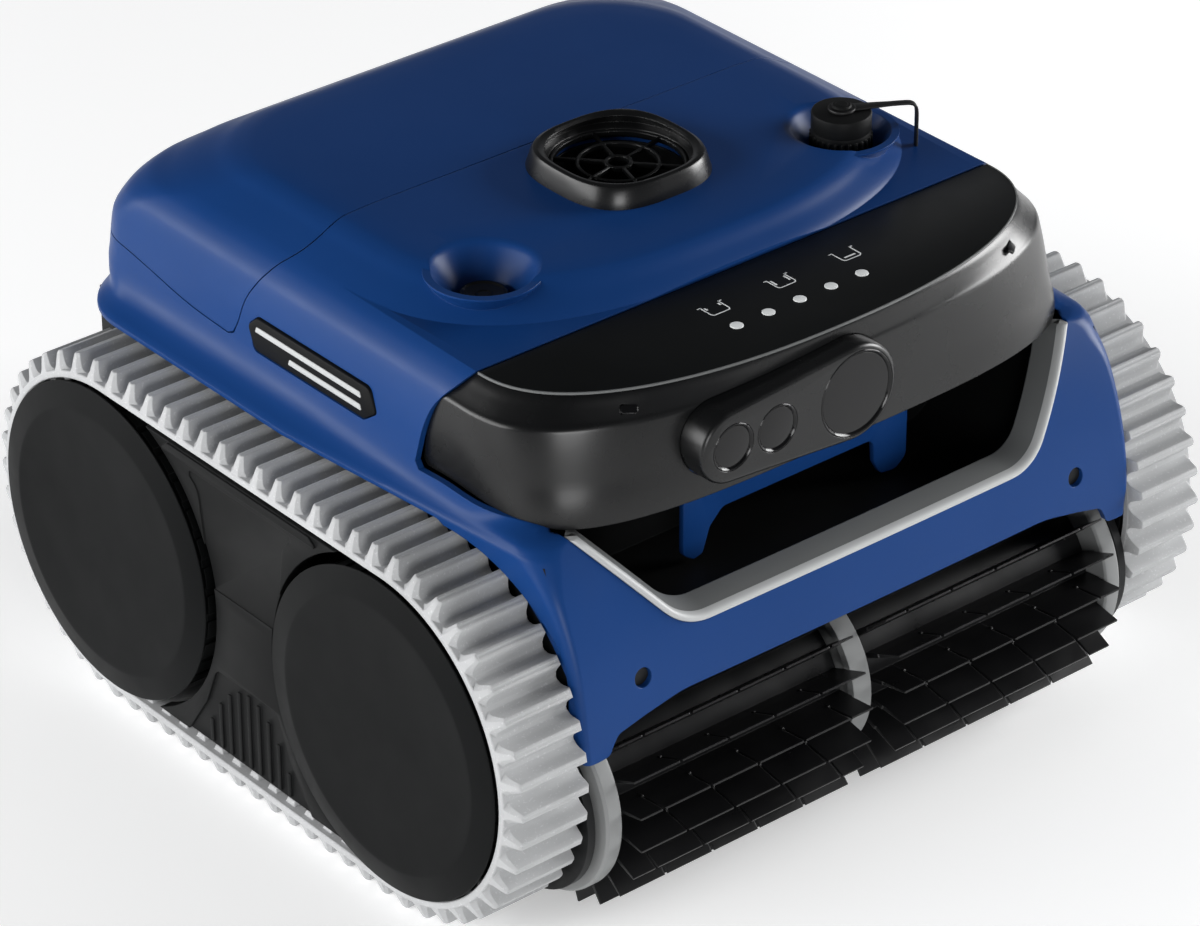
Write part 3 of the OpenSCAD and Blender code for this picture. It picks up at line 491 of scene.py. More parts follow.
def apron_half(z, hw, radius, inset, count):
    """Right half of the apron's outline: a slight bow, then a round corner into the side."""
    front = apron_y(z) + inset
    flat, arc = count * 5 // 12, count // 3
    half = []
    for i in range(flat):
        x = (hw - radius) * i / flat
        half.append((x, front + APRON_BOW * (x / hw) ** 2))
    middle = front + APRON_BOW * ((hw - radius) / hw) ** 2 + radius
    for i in range(arc):
        t = math.pi / 2 * i / arc
        half.append((hw - radius + radius * math.sin(t), middle - radius * math.cos(t)))
    rest = count - flat - arc
    return half + [(hw, middle + (NOSE_Y - middle) * i / rest) for i in range(rest)]


def body_ring(z, inset=0.0, nose=60, side=34, corner=18, back=14):
    """Horizontal outline of the body at height z, from the middle of the front round by the right."""
    hw, rear, radius, taper = smooth_rows(SIDE_ROWS, [z])[0]
    hw, rear, radius = hw - inset, rear - inset, radius - inset * 0.6
    if z <= SHOULDER_Z:
        squareness, centre, depth = 3.4, NOSE_Y, NOSE_Y - apron_y(VISOR_LOW) - inset
    else:
        squareness, centre = 2.6, 0
        depth = smooth_rows(PLATEAU_ROWS, [max(z, PLATEAU_ROWS[0][0])])[0][0] - inset
    half = []
    for i in range(nose):
        x, y = nose_point(hw, depth, squareness, math.pi / 2 * i / nose)
        half.append((x, centre + y))
    high = min(1, max(0, (z - DECK_Z - 5) / 14))
    if high < 1:
        corner_r = smooth_rows(CORNER_ROWS, [z])[0][0] - inset * 0.6
        apron = apron_half(min(z, VISOR_LOW), hw, corner_r, inset, nose)
        high = high * high * (3 - 2 * high)
        half = [(ax + (bx - ax) * high, ay + (by - ay) * high) for (ax, ay), (bx, by) in zip(apron, half)]
    straight = rear - radius
    half += [(hw, centre + (straight - centre) * i / side) for i in range(side)]
    for i in range(corner):
        t = math.pi / 2 * i / corner
        half.append((hw - radius + radius * math.cos(t), straight + radius * math.sin(t)))
    half += [((hw - radius) * (1 - i / back), rear) for i in range(back)]
    half = [(x - taper * max(0, -y) * x / hw, y) for x, y in half]
    half.append((0, rear))
    return [(x, y, z) for x, y in half] + [(-x, y, z) for x, y in reversed(half[1:-1])]


def body_solid(name, inset=0.0):
    low = APRON_Z - 4 - (6 if inset else 0)
    heights = list(np.linspace(APRON_Z - 4, DECK_Z - 6, 22)) + list(np.linspace(DECK_Z - 3, DECK_Z + 20, 24))
    heights += list(np.linspace(DECK_Z + 23, DECK_Z + 48, 12)) + list(np.linspace(DECK_Z + 50, SHOULDER_Z, 12))
    heights += list(np.linspace(DECK_Z + 62.2, TOP_Z - 0.6, 26)) + [TOP_Z - 0.25, TOP_Z]
    rings = [body_ring(z, inset) for z in heights]
    if inset:
        top_drop = [inset * max(0, min(1, (z - DECK_Z - 44) / 18)) for z in heights]
        rings = [[(x, y, z - d) for x, y, z in ring] for ring, d in zip(rings, top_drop)]
        rings.insert(0, [(x, y, low) for x, y, z in rings[0]])
    return loft(name, rings)


def spline(points, steps=6):
    """Catmull-Rom curve through points."""
    p = [Vector(q) for q in points]
    p = [2 * p[0] - p[1]] + p + [2 * p[-1] - p[-2]]
    out = []
    for i in range(1, len(p) - 2):
        for k in range(steps):
            t = k / steps
            out.append(tuple(0.5 * ((2 * p[i]) + (p[i + 1] - p[i - 1]) * t
                       + (2 * p[i - 1] - 5 * p[i] + 4 * p[i + 1] - p[i + 2]) * t * t
                       + (3 * p[i] - p[i - 1] - 3 * p[i + 1] + p[i + 2]) * t**3)))
    return out + [tuple(p[-2])]


def lid_zone(name, gap):
    """Prism over the space of the lid; its lower edge is the seam in side view."""
    front = spline([(SEAM_Y + gap, PANEL_Z + 30), (SEAM_Y + gap, PANEL_Z + 7), (SEAM_Y + 8 + gap, PANEL_Z - 4),
                    (SEAM_Y + 18 + gap, PANEL_Z - 20), (SEAM_Y + 23 + gap, PANEL_Z - 33),
                    (SEAM_Y + 26.2 + gap, PANEL_Z - 40 + gap)])
    low = spline([(SEAM_Y + 30.2, PANEL_Z - 41.6 + gap), (SEAM_Y + 63, PANEL_Z - 39.4 + gap),
                  (REAR_Y + 46, PANEL_Z - 31 + gap), (REAR_Y + 120, PANEL_Z - 27 + gap)])
    outline = [(SEAM_Y + gap, TOP_Z + 20)] + front + low + [(REAR_Y + 120, TOP_Z + 20)]
    return prism(name, outline, "x", -FAR_X, FAR_X)


def visor_zone(name, grow):
    """Prism over the space of the visor."""
    edge = spline([(NOSE_Y + grow, PANEL_Z + 2), (NOSE_Y + 5 + grow, PANEL_Z - 5),
                   (NOSE_Y + 14 + grow, PANEL_Z - 17), (NOSE_Y + 20 + grow, PANEL_Z - 32),
                   (NOSE_Y + 22.5 + grow, VISOR_LOW + 8)])
    low = spline([(NOSE_Y + 20, VISOR_LOW + 5.5 - grow), (NOSE_Y, VISOR_LOW + 5.8 - grow),
                  (NOSE_Y - 38, VISOR_LOW + 3 - grow), (NOSE_Y - 56, VISOR_LOW - grow),
                  (NOSE_Y - 130, VISOR_LOW - grow)])
    outline = [(NOSE_Y + grow, TOP_Z + 20)] + edge + low + [(NOSE_Y - 130, TOP_Z + 20)]
    return prism(name, outline, "x", -FAR_X, FAR_X)


# ---------- grip opening ----------

GRIP_TOP_X = 135
GRIP_Z = 140
GRIP_CORNER = 24
GRIP_SLOPE = math.radians(48.8)
TRIM_W = 5


def grip_half(grow, top):
    """Right half of the grip opening in front view, from the middle of the sill up to z = top."""
    r = GRIP_CORNER + grow
    cz = GRIP_Z + GRIP_CORNER
    cx = GRIP_TOP_X - (GRIP_CORNER + (VISOR_LOW - cz) * math.cos(GRIP_SLOPE)) / math.sin(GRIP_SLOPE)
    arc = [(cx + r * math.sin(t), cz - r * math.cos(t)) for t in (GRIP_SLOPE * i / 12 for i in range(13))]
    x, z = arc[-1]
    end = (x + (top - z) / math.tan(GRIP_SLOPE), top)
    sill = [(cx * i / 8, GRIP_Z - grow) for i in range(8)]
    leg = [(x + (end[0] - x) * i / 12, z + (end[1] - z) * i / 12) for i in range(1, 13)]
    return sill + arc + leg


def grip_outline(grow, top):
    half = grip_half(grow, top)
    return half + [(-x, z) for x, z in reversed(half[1:])]


def apron_surface(x, z):
    """y of the outer face of the apron at (x, z)."""
    hw, _, _, taper = smooth_rows(SIDE_ROWS, [z])[0]
    radius = smooth_rows(CORNER_ROWS, [z])[0][0]
    wide = abs(x) / (1 + taper * apron_y(z) / hw)
    into = min(radius, max(0, wide - hw + radius))
    return apron_y(z) + APRON_BOW * (wide / hw) ** 2 + radius - math.sqrt(radius**2 - into**2)


# ---------- shell and lid ----------

def side_strip_outline(grow):
    points = [(-46 - grow, DECK_Z + 25), (-42, DECK_Z + 35.6 + grow), (36, DECK_Z + 35.6 + grow),
              (42.5 + grow, DECK_Z + 30), (38 + grow, DECK_Z + 19.4 - grow), (-38, DECK_Z + 19.4 - grow)]
    return rounded(points, [2, 4, 4, 3, 4, 3])


def build_well(whole, s):
    """Adds the cup of one well under the shell's top and hollows it out; the rim flares out softly."""
    cup = [(0, WELL_Z - 7), (15.6, WELL_Z - 7), (15.6, WELL_Z - 3), (WELL_R + 2.3, WELL_Z + 11),
           (WELL_R + 2.3, TOP_Z - 2.2), (0, TOP_Z - 2.2)]
    well = [(0, WELL_Z - 5), (13, WELL_Z - 5), (13, WELL_Z - 2), (WELL_R - 1.6, WELL_Z + 11.2),
            (WELL_R - 0.7, WELL_Z + 12.6), (WELL_R + 0.9, WELL_Z + 13.6), (WELL_R + 3.2, WELL_Z + 14.05),
            (WELL_R + 3.4, TOP_Z + 6), (0, TOP_Z + 6)]
    axis = (s * WELL_X, WELL_Y, 0)
    cut(add(whole, lathe("cup", cup, axis)), lathe("well", well, axis))


def cut_track_room(whole, s):
    """Ends the fender at a curve round the track."""
    for reach, foot, inner in ((84.5, 72, HALF_W - 3), (TRACK_R + 0.6, 76, BELT_IN - 0.5)):
        arc = [(FRONT_Y - reach * math.cos(t), AXLE_Z + reach * math.sin(t))
               for t in map(math.radians, range(33, 91, 3))]
        behind = [(FRONT_Y - foot, 60), (FRONT_Y - foot, 126)] + arc + [
            (FRONT_Y + 4, DECK_Z + 0.4), (REAR_Y + 100, DECK_Z + 0.4), (REAR_Y + 100, 60)]
        lowest, highest = sorted((s * inner, s * (HALF_W + 80)))
        cut(whole, prism("track_room", behind, "x", lowest, highest))


# distance in from the side, height above the apron's foot, corner radius
ARCH_ROWS = [(48, 19.5, 60), (28, 15.6, 40), (13.5, 12, 5), (10.6, 7, 3), (9, 3.2, 4), (3, 2.6, 4),
             (-20, 3.2, 0), (-20, -50, 0)]


def arch_outline():
    """Space under the apron, over the brushes, in front view."""
    half = [(HALF_W - inset, APRON_Z + rise) for inset, rise, _ in ARCH_ROWS]
    radii = [radius for _, _, radius in ARCH_ROWS]
    return rounded([(-x, z) for x, z in half][:1] + half + [(-x, z) for x, z in reversed(half[1:])],
                   radii[:1] + radii + radii[:0:-1])


def build_shell():
    hollow = body_solid("hollow", SHELL_T)
    whole = body_solid("whole")
    lid = copy_of(whole, "filter_lid_skin")
    keep(lid, lid_zone("zone", 0.6))
    cut(lid, copy_of(hollow, "hollow_lid"))
    cut(whole, hollow)
    for s in (-1, 1):
        build_well(whole, s)
        cut(whole, prism("strip_pocket", side_strip_outline(0.5), "x", s * (HALF_W + 1.2), s * (HALF_W + 30)))
        screw = disc_outline(s * (HALF_W - 28.2), 122.6, 4.4)
        cut(whole, prism("screw", screw, "y", FRONT_Y - 100, FRONT_Y - 60))
        cut_track_room(whole, s)
    cut(whole, box("inside_room", (-HALF_W + 2.5, FRONT_Y, 60), (HALF_W - 2.5, REAR_Y + 100, DECK_Z + 0.4)))
    cut(whole, visor_zone("visor_room", 0.35), lid_zone("lid_room", 0.0))
    cut(whole, prism("outlet_room", disc_outline(0, OUTLET_Y, 31), "z", TOP_Z - 30, TOP_Z + 10))
    for outline in (grip_outline(TRIM_W, VISOR_LOW + 8), arch_outline()):
        cut(whole, prism("front_room", outline, "y", FRONT_Y - 120, FRONT_Y - 30))
    # the pressed button sinks through the floor of its well
    cut(whole, prism("button_room", disc_outline(-WELL_X, WELL_Y, 11.5), "z", WELL_Z - 12, WELL_Z - 3))
    return whole, lid


def finger_plate():
    floor = GRIP_Z - 10
    outline = [(-62, VISOR_LOW + 4), (-62, floor + 4), (-56, floor), (-51, floor + 1), (-47, 143), (-40, 150),
               (46, 150), (47, 138), (51, floor + 1), (60, floor), (66, floor + 5), (66, VISOR_LOW + 4)]
    outline = rounded(outline, [0, 4, 3, 3, 4, 5, 4, 5, 4, 5, 5, 0])
    return round_edges(prism("finger_plate", outline, "y", FRONT_Y - 32, FRONT_Y - 29), 0.5)


shell, lid = build_shell()
HINGE_Y, HINGE_Z = middle("lid_hinge_pin", 1), middle("lid_hinge_pin", 2)


def knuckle(name, x0, x1, side):
    """Hinge barrel with a web; side +1 joins it upwards to the lid, -1 downwards to the shell."""
    ring = lathe(name, [(2.6, x0), (2.6, x1), (4.4, x1), (5, x1 - 0.6), (5, x0 + 0.6), (4.4, x0)],
                 (0, HINGE_Y, HINGE_Z), "x", 40)
    low, high = sorted((HINGE_Z + side * 1.6, HINGE_Z + side * 4.9))
    return joined(name, ring, box("web", (x0 + 0.5, HINGE_Y - 8.5, low), (x1 - 0.5, HINGE_Y - 2, high), 0.4))


fixed_knuckles = [knuckle("fixed_knuckle", x, x + 10.8, -1) for x in (-67.4, 56.6)]
lid_knuckles = [knuckle("lid_knuckle", x, x + 16, 1) for x in (-84, -56, 40, 68)]
shell = joined("upper_shell_skin", shell, finger_plate(), *fixed_knuckles)
lid = joined("filter_lid_skin", lid, *lid_knuckles)
place_piece(shade(shell), "root", BLUE, "blue_shell", "upper_shell")
place_piece(shade(lid), "lid", BLUE, "blue_shell", "filter_lid")


# ---------- visor, panel and lights ----------

VISOR_ROWS = [
    (VISOR_LOW - 0.4, HALF_W + 1.6, 66.6, 3.6), (VISOR_LOW + 0.4, HALF_W + 2.2, 67.4, 3.6),
    (VISOR_LOW + 20, HALF_W + 2.2, 67.6, 3.0), (VISOR_LOW + 40.6, HALF_W + 1.2, 67.2, 2.55),
    (VISOR_LOW + 42.2, HALF_W + 0.4, 66.9, 2.52), (VISOR_LOW + 43.2, HALF_W - 0.6, 66.5, 2.5),
    (VISOR_LOW + 48, HALF_W - 5, 65.6, 2.4), (VISOR_LOW + 52.4, HALF_W - 9, 64.9, 2.32),
    (VISOR_LOW + 53.6, HALF_W - 10.6, 64.2, 2.3),
]


def visor_ring(z, inset, nose=72):
    hw, depth, n = smooth_rows(VISOR_ROWS, [z])[0]
    half = []
    for i in range(nose + 1):
        x, y = nose_point(hw - inset, depth - inset, n, math.pi / 2 * i / nose)
        half.append((x, NOSE_Y + y, z))
    half.append((hw - inset, NOSE_Y + 30, z))
    return half + [(-x, y, z) for x, y, z in reversed(half[1:])]


def visor_solid(name, inset):
    rises = [-0.4, -0.1, 0.4]
    for start, stop, count in ((2, 38, 14), (39.6, 44.4, 13), (45.4, 53.6, 10)):
        rises += list(np.linspace(start, stop, count))
    rings = [visor_ring(VISOR_LOW + rise, inset) for rise in rises]
    if inset:
        rings = [[(x, y, z - inset) for x, y, z in ring] for ring in rings]
    return loft(name, rings)


def panel_outline(inset, steps=64):
    half = []
    for i in range(steps + 1):
        x, y = nose_point(HALF_W - 9 - inset, 65.4 - inset, 2.3, math.pi / 2 * i / steps)
        half.append((x, NOSE_Y + y))
    half[-1] = (half[-1][0], NOSE_Y + 0.4)
    return half + [(-x, y) for x, y in reversed(half[1:])]


def window_piece(name, grow, low, high):
    """Three small windows that lie in the visor's bevel."""
    parts = []
    half_x, half_y = 3.6 + grow, 1.9 + grow
    for s in (-1, 0, 1):
        part = prism(name, rounded(rectangle(-half_x, -half_y, half_x, half_y), 1.2), "z", low, high)
        tilt = Matrix.Rotation(math.radians(38), 4, "X")
        turn = Matrix.Rotation(math.radians(s * 40), 4, "Z")
        y = FRONT_Y - (64.6 if s == 0 else 49.6)
        part.data.transform(Matrix.Translation(Vector((s * 107, y, PANEL_Z - 6.6)) * MM) @ turn @ tilt)
        parts.append(part)
    return joined(name, *parts)


BAR_Z = PANEL_Z - 27.5
BAR_FACE = FRONT_Y - 73
BAR_ENDS = ((-71, 17), (-3, 22.5))
LENSES = ((-71, 11), (-47, 11), (-3, 20))


def bar_outline(shrink):
    """Outline of the sensor bar: two round ends and their common tangents."""
    (x0, r0), (x1, r1) = BAR_ENDS
    quarter = math.pi / 2
    lean = math.asin((r1 - r0) / (x1 - x0))
    left = [(x0 - (r0 - shrink) * math.cos(t), BAR_Z + (r0 - shrink) * math.sin(t))
            for t in np.linspace(lean - quarter, quarter - lean, 40)]
    right = [(x1 + (r1 - shrink) * math.cos(t), BAR_Z + (r1 - shrink) * math.sin(t))
             for t in np.linspace(quarter + lean, -quarter - lean, 48)]
    return left + right


def build_visor():
    visor = cut(visor_solid("visor_skin", 0), visor_solid("visor_hollow", 3))
    keep(visor, visor_zone("visor_room", 0.0))
    cut(visor, prism("panel_seat", panel_outline(-0.15), "z", PANEL_Z - 0.6, PANEL_Z + 20))
    cut(visor, window_piece("window_room", 0.3, -1.2, 6))
    return cut(visor, prism("bar_room", bar_outline(-0.3), "y", FRONT_Y - 110, FRONT_Y - 30))


def build_bar():
    steps = [(0, 2.2), (0.35, 1.2), (1.2, 0.35), (2.4, 0), (24, 0)]
    rings = [[(x, BAR_FACE + depth, z) for x, z in bar_outline(shrink)] for depth, shrink in steps]
    bar = loft("sensor_bar_skin", rings)
    for x, r in LENSES:
        cut(bar, prism("lens_room", disc_outline(x, BAR_Z, r, 72), "y", BAR_FACE - 2, BAR_FACE + 1.1))
    return bar


def build_lenses():
    parts = []
    for x, r in LENSES:
        ring = [(r - 0.1, -1.1), (r - 0.1, -0.15), (r - 0.5, 0.15), (r - 1.1, -0.25), (r - 1.5, -0.8),
                (r - 1.6, -1.1)]
        parts.append(lathe("lens_ring", ring, (x, BAR_FACE, BAR_Z), "y", 72))
        dome = [(0, -1.1), (r - 1.6, -1.1), (r - 1.7, -0.75), (r * 0.6, -0.5), (0, -0.4)]
        parts.append(lathe("lens_dome", dome, (x, BAR_FACE, BAR_Z), "y", 72))
    return joined("sensor_lens_set", *parts)


def build_lights():
    profile = [(0, -0.2), (2.9, -0.2), (2.9, 0.75), (2.4, 0.95), (0, 1.0)]
    y = middle("status_lights", 1)
    parts = [lathe("light", profile, (17.5 * i - 1.5, y, PANEL_Z), "z", 40) for i in range(-2, 3)]
    return joined("status_light_set", *parts)


def stroke(name, path, width, low, high):
    """Flat line of even width along an open path in X and Y."""
    points = [Vector(p) for p in path]
    left, right = [], []
    for i, p in enumerate(points):
        along = (points[min(i + 1, len(points) - 1)] - points[max(i - 1, 0)]).normalized()
        side = Vector((-along.y, along.x)) * width / 2
        left.append(tuple(p + side))
        right.append(tuple(p - side))
    return prism(name, left + right[::-1], "z", low, high)


def build_icons():
    """Three basin signs: an outline of a pool, with the part to be cleaned drawn as a thicker line."""
    parts = []
    top, base = PANEL_Z + 0.55, PANEL_Z + 0.2
    y = FRONT_Y - 18.4
    for k, x in enumerate((-33.7, 3, 40)):
        bend = [(-3.4 - 1.6 * math.cos(t), -2.6 - 1.6 * math.sin(t)) for t in np.linspace(0, math.pi / 2, 7)]
        basin = [(-5, 4)] + bend
        basin += [(-px, py) for px, py in reversed(basin)]
        for s in (-1, 1):
            parts.append(stroke("brim", [(x + s * 4.7, y + 4), (x + s * 6.6, y + 4)], 0.6, base, top))
        parts.append(stroke("basin", [(x + px, y + py) for px, py in basin], 0.6, base, top))
        if k < 2:
            foot = -1.4 if k else 0.9
            for s in (-1, 1):
                wall = [(x + s * 3.7, y + 2.9), (x + s * 3.7, y + foot)]
                parts.append(stroke("wall", wall, 0.9, base, top))
        else:
            parts.append(stroke("floor", [(x - 3, y - 1.9), (x + 3, y - 1.9)], 1.0, base, top))
    return joined("panel_icons", *parts)


place_piece(shade(build_visor()), "root", GLOSS, "black_gloss", "visor")
panel = round_edges(prism("control_panel_skin", panel_outline(0.15), "z", PANEL_Z - 0.6, PANEL_Z + 0.5), 0.35)
place_piece(shade(panel), "root", PANEL, "black_matt", "control_panel")
border = cut(prism("panel_border", panel_outline(0.1), "z", PANEL_Z - 0.4, PANEL_Z + 0.62),
             prism("inner", panel_outline(0.75), "z", PANEL_Z - 2, PANEL_Z + 2))
place_piece(shade(border), "root", GREY_SHADE_AND_EDGE_LINE, "grey_trim")
windows = round_edges(window_piece("level_window_set", 0, -0.9, 0.25), 0.25)
place_piece(shade(windows), "root", LENS, "lens_dark", "level_windows")
place_piece(shade(build_bar()), "root", GLOSS, "black_gloss", "sensor_bar")
place_piece(shade(build_lenses()), "root", LENS, "lens_dark", "sensor_lenses")
place_piece(shade(build_lights()), "root", WHITE, "light_white", "status_lights")
place_piece(shade(build_icons()), "root", WHITE, "light_white")


# ---------- grip trim ----------

def trim_sweep(name, section):
    """Closed section (distance outside the opening, depth) swept along the edge of the grip opening."""
    rings = []
    lines = [grip_half(grow, VISOR_LOW - 0.8) for grow, _ in section]
    count = len(lines[0])
    for i in range(-(count - 1), count):
        s = -1 if i < 0 else 1
        rings.append([(s * line[abs(i)][0], apron_surface(*line[abs(i)]) + depth, line[abs(i)][1])
                      for line, (_, depth) in zip(lines, section)])
    return loft(name, rings)


bead = trim_sweep("grip_trim", [
    (TRIM_W - 0.2, 4), (TRIM_W - 0.2, -0.2), (TRIM_W - 0.7, -1.0), (TRIM_W - 1.6, -1.4), (TRIM_W - 2.6, -1.1),
    (TRIM_W - 3.2, -0.2), (TRIM_W - 3.6, 1.2), (TRIM_W - 3.8, 4)])
throat = trim_sweep("grip_trim_throat", [
    (TRIM_W - 0.4, 3.9), (TRIM_W - 3.5, 1.4), (0.6, 4.2), (-0.4, 8), (-0.9, 12), (0.2, 12), (2.2, 7)])
place_piece(shade(bead, 50), "root", TRIM, "grey_trim", "handle_trim")
# The throat gets the darker grey as painted shade on the trim's inner face; it is the same grey part as the
# bead.
place_piece(shade(throat, 50), "root", GREY_SHADE_AND_EDGE_LINE, "grey_trim")


# ---------- outlet ----------

def build_outlet_rim():
    """Soft square outside that turns round towards the bore."""
    low, high = node_box("outlet_rim")
    half = (high.x - low.x) / 2
    # half width, squareness, height above the lid
    layers = [(half, 2.9, -1.0), (half, 2.9, 0.6), (half - 0.8, 2.9, 3.5), (half - 1.8, 2.85, 7.6),
              (half - 2.6, 2.8, 9.2), (half - 3.9, 2.7, 9.9), (half - 5.2, 2.6, 9.6), (half - 6.3, 2.5, 8.4),
              (33.2, 2.1, 4.6), (30.6, 2, 3.0), (30.2, 2, 2.2), (30.2, 2, -1.0)]
    turns = [math.tau * i / 120 for i in range(120)]
    rings = []
    for a, n, rise in layers:
        rings.append([(x, OUTLET_Y + y, TOP_Z + rise) for x, y in (nose_point(a, a, n, t) for t in turns)])
    return hoop("outlet_rim_skin", rings)


def build_grille():
    parts = []
    centre = (0, OUTLET_Y, TOP_Z)
    for r0, r1 in ((28.4, 30.1), (17.1, 18.7), (4.6, 6.4)):
        ring = [(r0, 0.5), (r1, 0.5), (r1, 2.6), ((r0 + r1) / 2, 3.1), (r0, 2.6)]
        parts.append(lathe("grille_ring", ring, centre, "z", 96))
    for k in range(6):
        spoke = box("spoke", (5.6, -0.7, 0.6), (29, 0.7, 2.7), 0.3)
        parts.append(turned(spoke, math.radians(60 * k + 12), "Z", centre))
    return joined("outlet_grille_skin", *parts)


def build_propeller():
    low, high = node_box("propeller")
    centre = (0, OUTLET_Y, low.z)
    radius = (high.x - low.x) / 2
    parts = [lathe("hub", [(0, 0.2), (6.4, 0.2), (7, 1), (7, 9), (6, 11), (3.5, 12), (0, 12.2)], centre)]
    for k in range(4):
        rows = []
        for i in range(9):
            r = 6 + (radius - 6.4) * i / 8
            chord = 7.6 + 3.0 * math.sin(math.pi * i / 9)
            pitch = math.radians(52 - 30 * i / 8)
            ring = []
            for c, t in ((-1, 0), (-0.5, 0.8), (0.2, 1.0), (0.8, 0.5), (1, 0), (0.6, -0.4), (-0.4, -0.6)):
                u, v = c * chord, t * 0.9
                ring.append((r * math.cos(u / r * 0.35), u * math.cos(pitch) - v * math.sin(pitch),
                             6 + u * math.sin(pitch) * 0.55 + v * math.cos(pitch)))
            rows.append(ring)
        parts.append(turned(loft("blade", rows), math.tau * k / 4, "Z", centre))
    return joined("propeller_skin", *parts)


place_piece(shade(build_outlet_rim()), "root", GLOSS, "black_matt", "outlet_rim")
place_piece(shade(build_grille()), "root", GLOSS, "black_matt", "outlet_grille")
place_piece(shade(build_propeller(), 40), "propeller_body", MATT, "hull_black", "propeller")


# ---------- wells, button, cap and strap ----------

def build_button():
    z = node_box("power_button")[1].z
    rim = [(0, z - 6.8), (10.5, z - 6.8), (10.5, z - 0.7), (10.0, z - 0.1), (9.2, z - 0.1), (8.6, z - 0.7),
           (4, z - 1.1), (0, z - 1.2)]
    mark = [(2.9, z - 1.2), (3.5, z - 1.2), (3.5, z - 0.85), (2.9, z - 0.85)]
    return joined("power_button_skin", lathe("button", rim, BUTTON_AXIS, "z", 72),
                  lathe("button_mark", mark, BUTTON_AXIS, "z", 48))


def build_bezel():
    low, high = node_box("button_bezel")
    z = high.z
    profile = [(11, low.z), (15.9, low.z), (15.9, low.z + 2.9), (13, low.z + 3.1), (12.9, z - 0.6), (12.4, z),
               (11.6, z), (11.05, z - 0.6)]
    return lathe("button_bezel_skin", profile, BUTTON_AXIS, "z", 72)


def build_cap():
    """Cap with a stud on top, ribs round its skirt and nubs round its waist."""
    low, high = node_box("charging_cap")
    z, stud = low.z, high.z
    top = z + 18
    bore = 11.65
    profile = [(0, z + 12.1), (bore - 0.4, z + 12.1), (bore, z + 11.7), (bore, z), (13.2, z), (13.4, z + 0.5),
               (13.3, z + 8.5), (13.0, z + 9.4), (13.4, z + 10.2), (13.4, top - 1.0), (13.1, top - 0.3),
               (12.5, top), (3.1, top), (3.0, stud - 0.5), (2.5, stud), (0, stud)]
    head = [(0, stud - 1.5), (4.4, stud - 1.5), (4.5, stud - 1.1), (3.9, stud - 0.3), (0, stud - 0.15)]
    parts = [lathe("cap_body", profile, CAP_AXIS), lathe("cap_stud", head, CAP_AXIS, "z", 48)]
    for count, low, high, radius in ((28, (12.6, -0.62, z + 0.6), (14.0, 0.62, z + 7.6), 0.35),
                                     (14, (12.0, -0.8, z + 11.4), (12.9, 0.8, z + 12.6), 0.3)):
        for k in range(count):
            parts.append(turned(box("rib", low, high, radius), math.tau * k / count, "Z", CAP_AXIS))
    return joined("charging_cap_skin", *parts)


STRAP_TURN = math.radians(-28.5)


def build_strap():
    """Rubber strap: an eye round the cap's stud, a flat arm, then a leg down towards the shell."""
    low, high = node_box("cap_strap")
    z0, z1 = high.z - 1.3, high.z
    eye = lathe("eye", [(3.5, z0), (5.9, z0), (6.1, z0 + 0.3), (6.1, z1 - 0.3), (5.9, z1), (3.5, z1)],
                CAP_AXIS, "z", 48)
    path = spline([(5, 0), (12, 0), (20, 0), (28, -0.1), (31.4, -0.5), (33.2, -1.8), (33.9, -4), (34.1, -9),
                   (34.1, low.z - high.z + 0.8)], 4)
    rings = []
    for i, (dx, dz) in enumerate(path):
        a, b = Vector(path[max(i - 1, 0)]), Vector(path[min(i + 1, len(path) - 1)])
        along = (b - a).normalized()
        up = Vector((-along.y, along.x)) * 0.62
        wide = 3.0 - 1.3 * min(1, max(0, (dx - 8) / 14))
        centre = Vector((dx, (z0 + z1) / 2 + dz))
        ring = []
        for s, t in ((-1, -0.5), (-1, 0.5), (-0.8, 1), (0.8, 1), (1, 0.5), (1, -0.5), (0.8, -1), (-0.8, -1)):
            q = centre + up * t
            ring.append((q.x, s * wide, q.y))
        rings.append(ring)
    return joined("cap_strap_skin", eye, turned(loft("arm", rings), STRAP_TURN, "Z", CAP_AXIS))


def build_socket():
    low, high = node_box("charging_socket")
    z, top = low.z, high.z
    profile = [(8, z + 3), (8, top - 0.5), (8.5, top), (11.0, top), (11.4, top - 0.5), (11.4, z + 3),
               (15.9, z + 3), (15.9, z), (0, z), (0, z + 3)]
    pin = [(0, z + 2), (1.2, z + 2), (1.2, z + 11), (0.8, z + 11.8), (0, z + 12)]
    parts = [lathe("socket", profile, CAP_AXIS, "z", 72)]
    for x, y in disc_outline(WELL_X, WELL_Y, 4, 3):
        parts.append(lathe("pin", pin, (x, y, 0), "z", 20))
    return joined("charging_socket_skin", *parts)


place_piece(shade(build_button()), "button", GLOSS, "black_gloss", "power_button")
place_piece(shade(build_bezel()), "root", GLOSS, "black_gloss", "button_bezel")
place_piece(shade(build_cap()), "cap", MATT, "black_matt", "charging_cap")
place_piece(shade(build_strap(), 50), "root", STRAP, "strap_rubber", "cap_strap")
place_piece(shade(build_socket()), "root", GLOSS, "black_gloss", "charging_socket")


# ---------- side strips ----------

STRIP_X = HALF_W + 1.6
# rear end, height
STRIP_BARS = ((37, DECK_Z + 30.2), (14, DECK_Z + 24.2))


def strip_bar(end, z, gap, low, high):
    """Light bar from low to high over the strip's back, with a gap of its seat taken off all round."""
    start, end, half = gap - 37, end - gap, 1.5 - 0.75 * gap
    outline = [(start, z - half), (end, z - half), (end - 1, z + half), (start + 1, z + half)]
    return prism("bar", rounded(outline, 0.6 - gap / 2), "x", STRIP_X + low, STRIP_X + high)


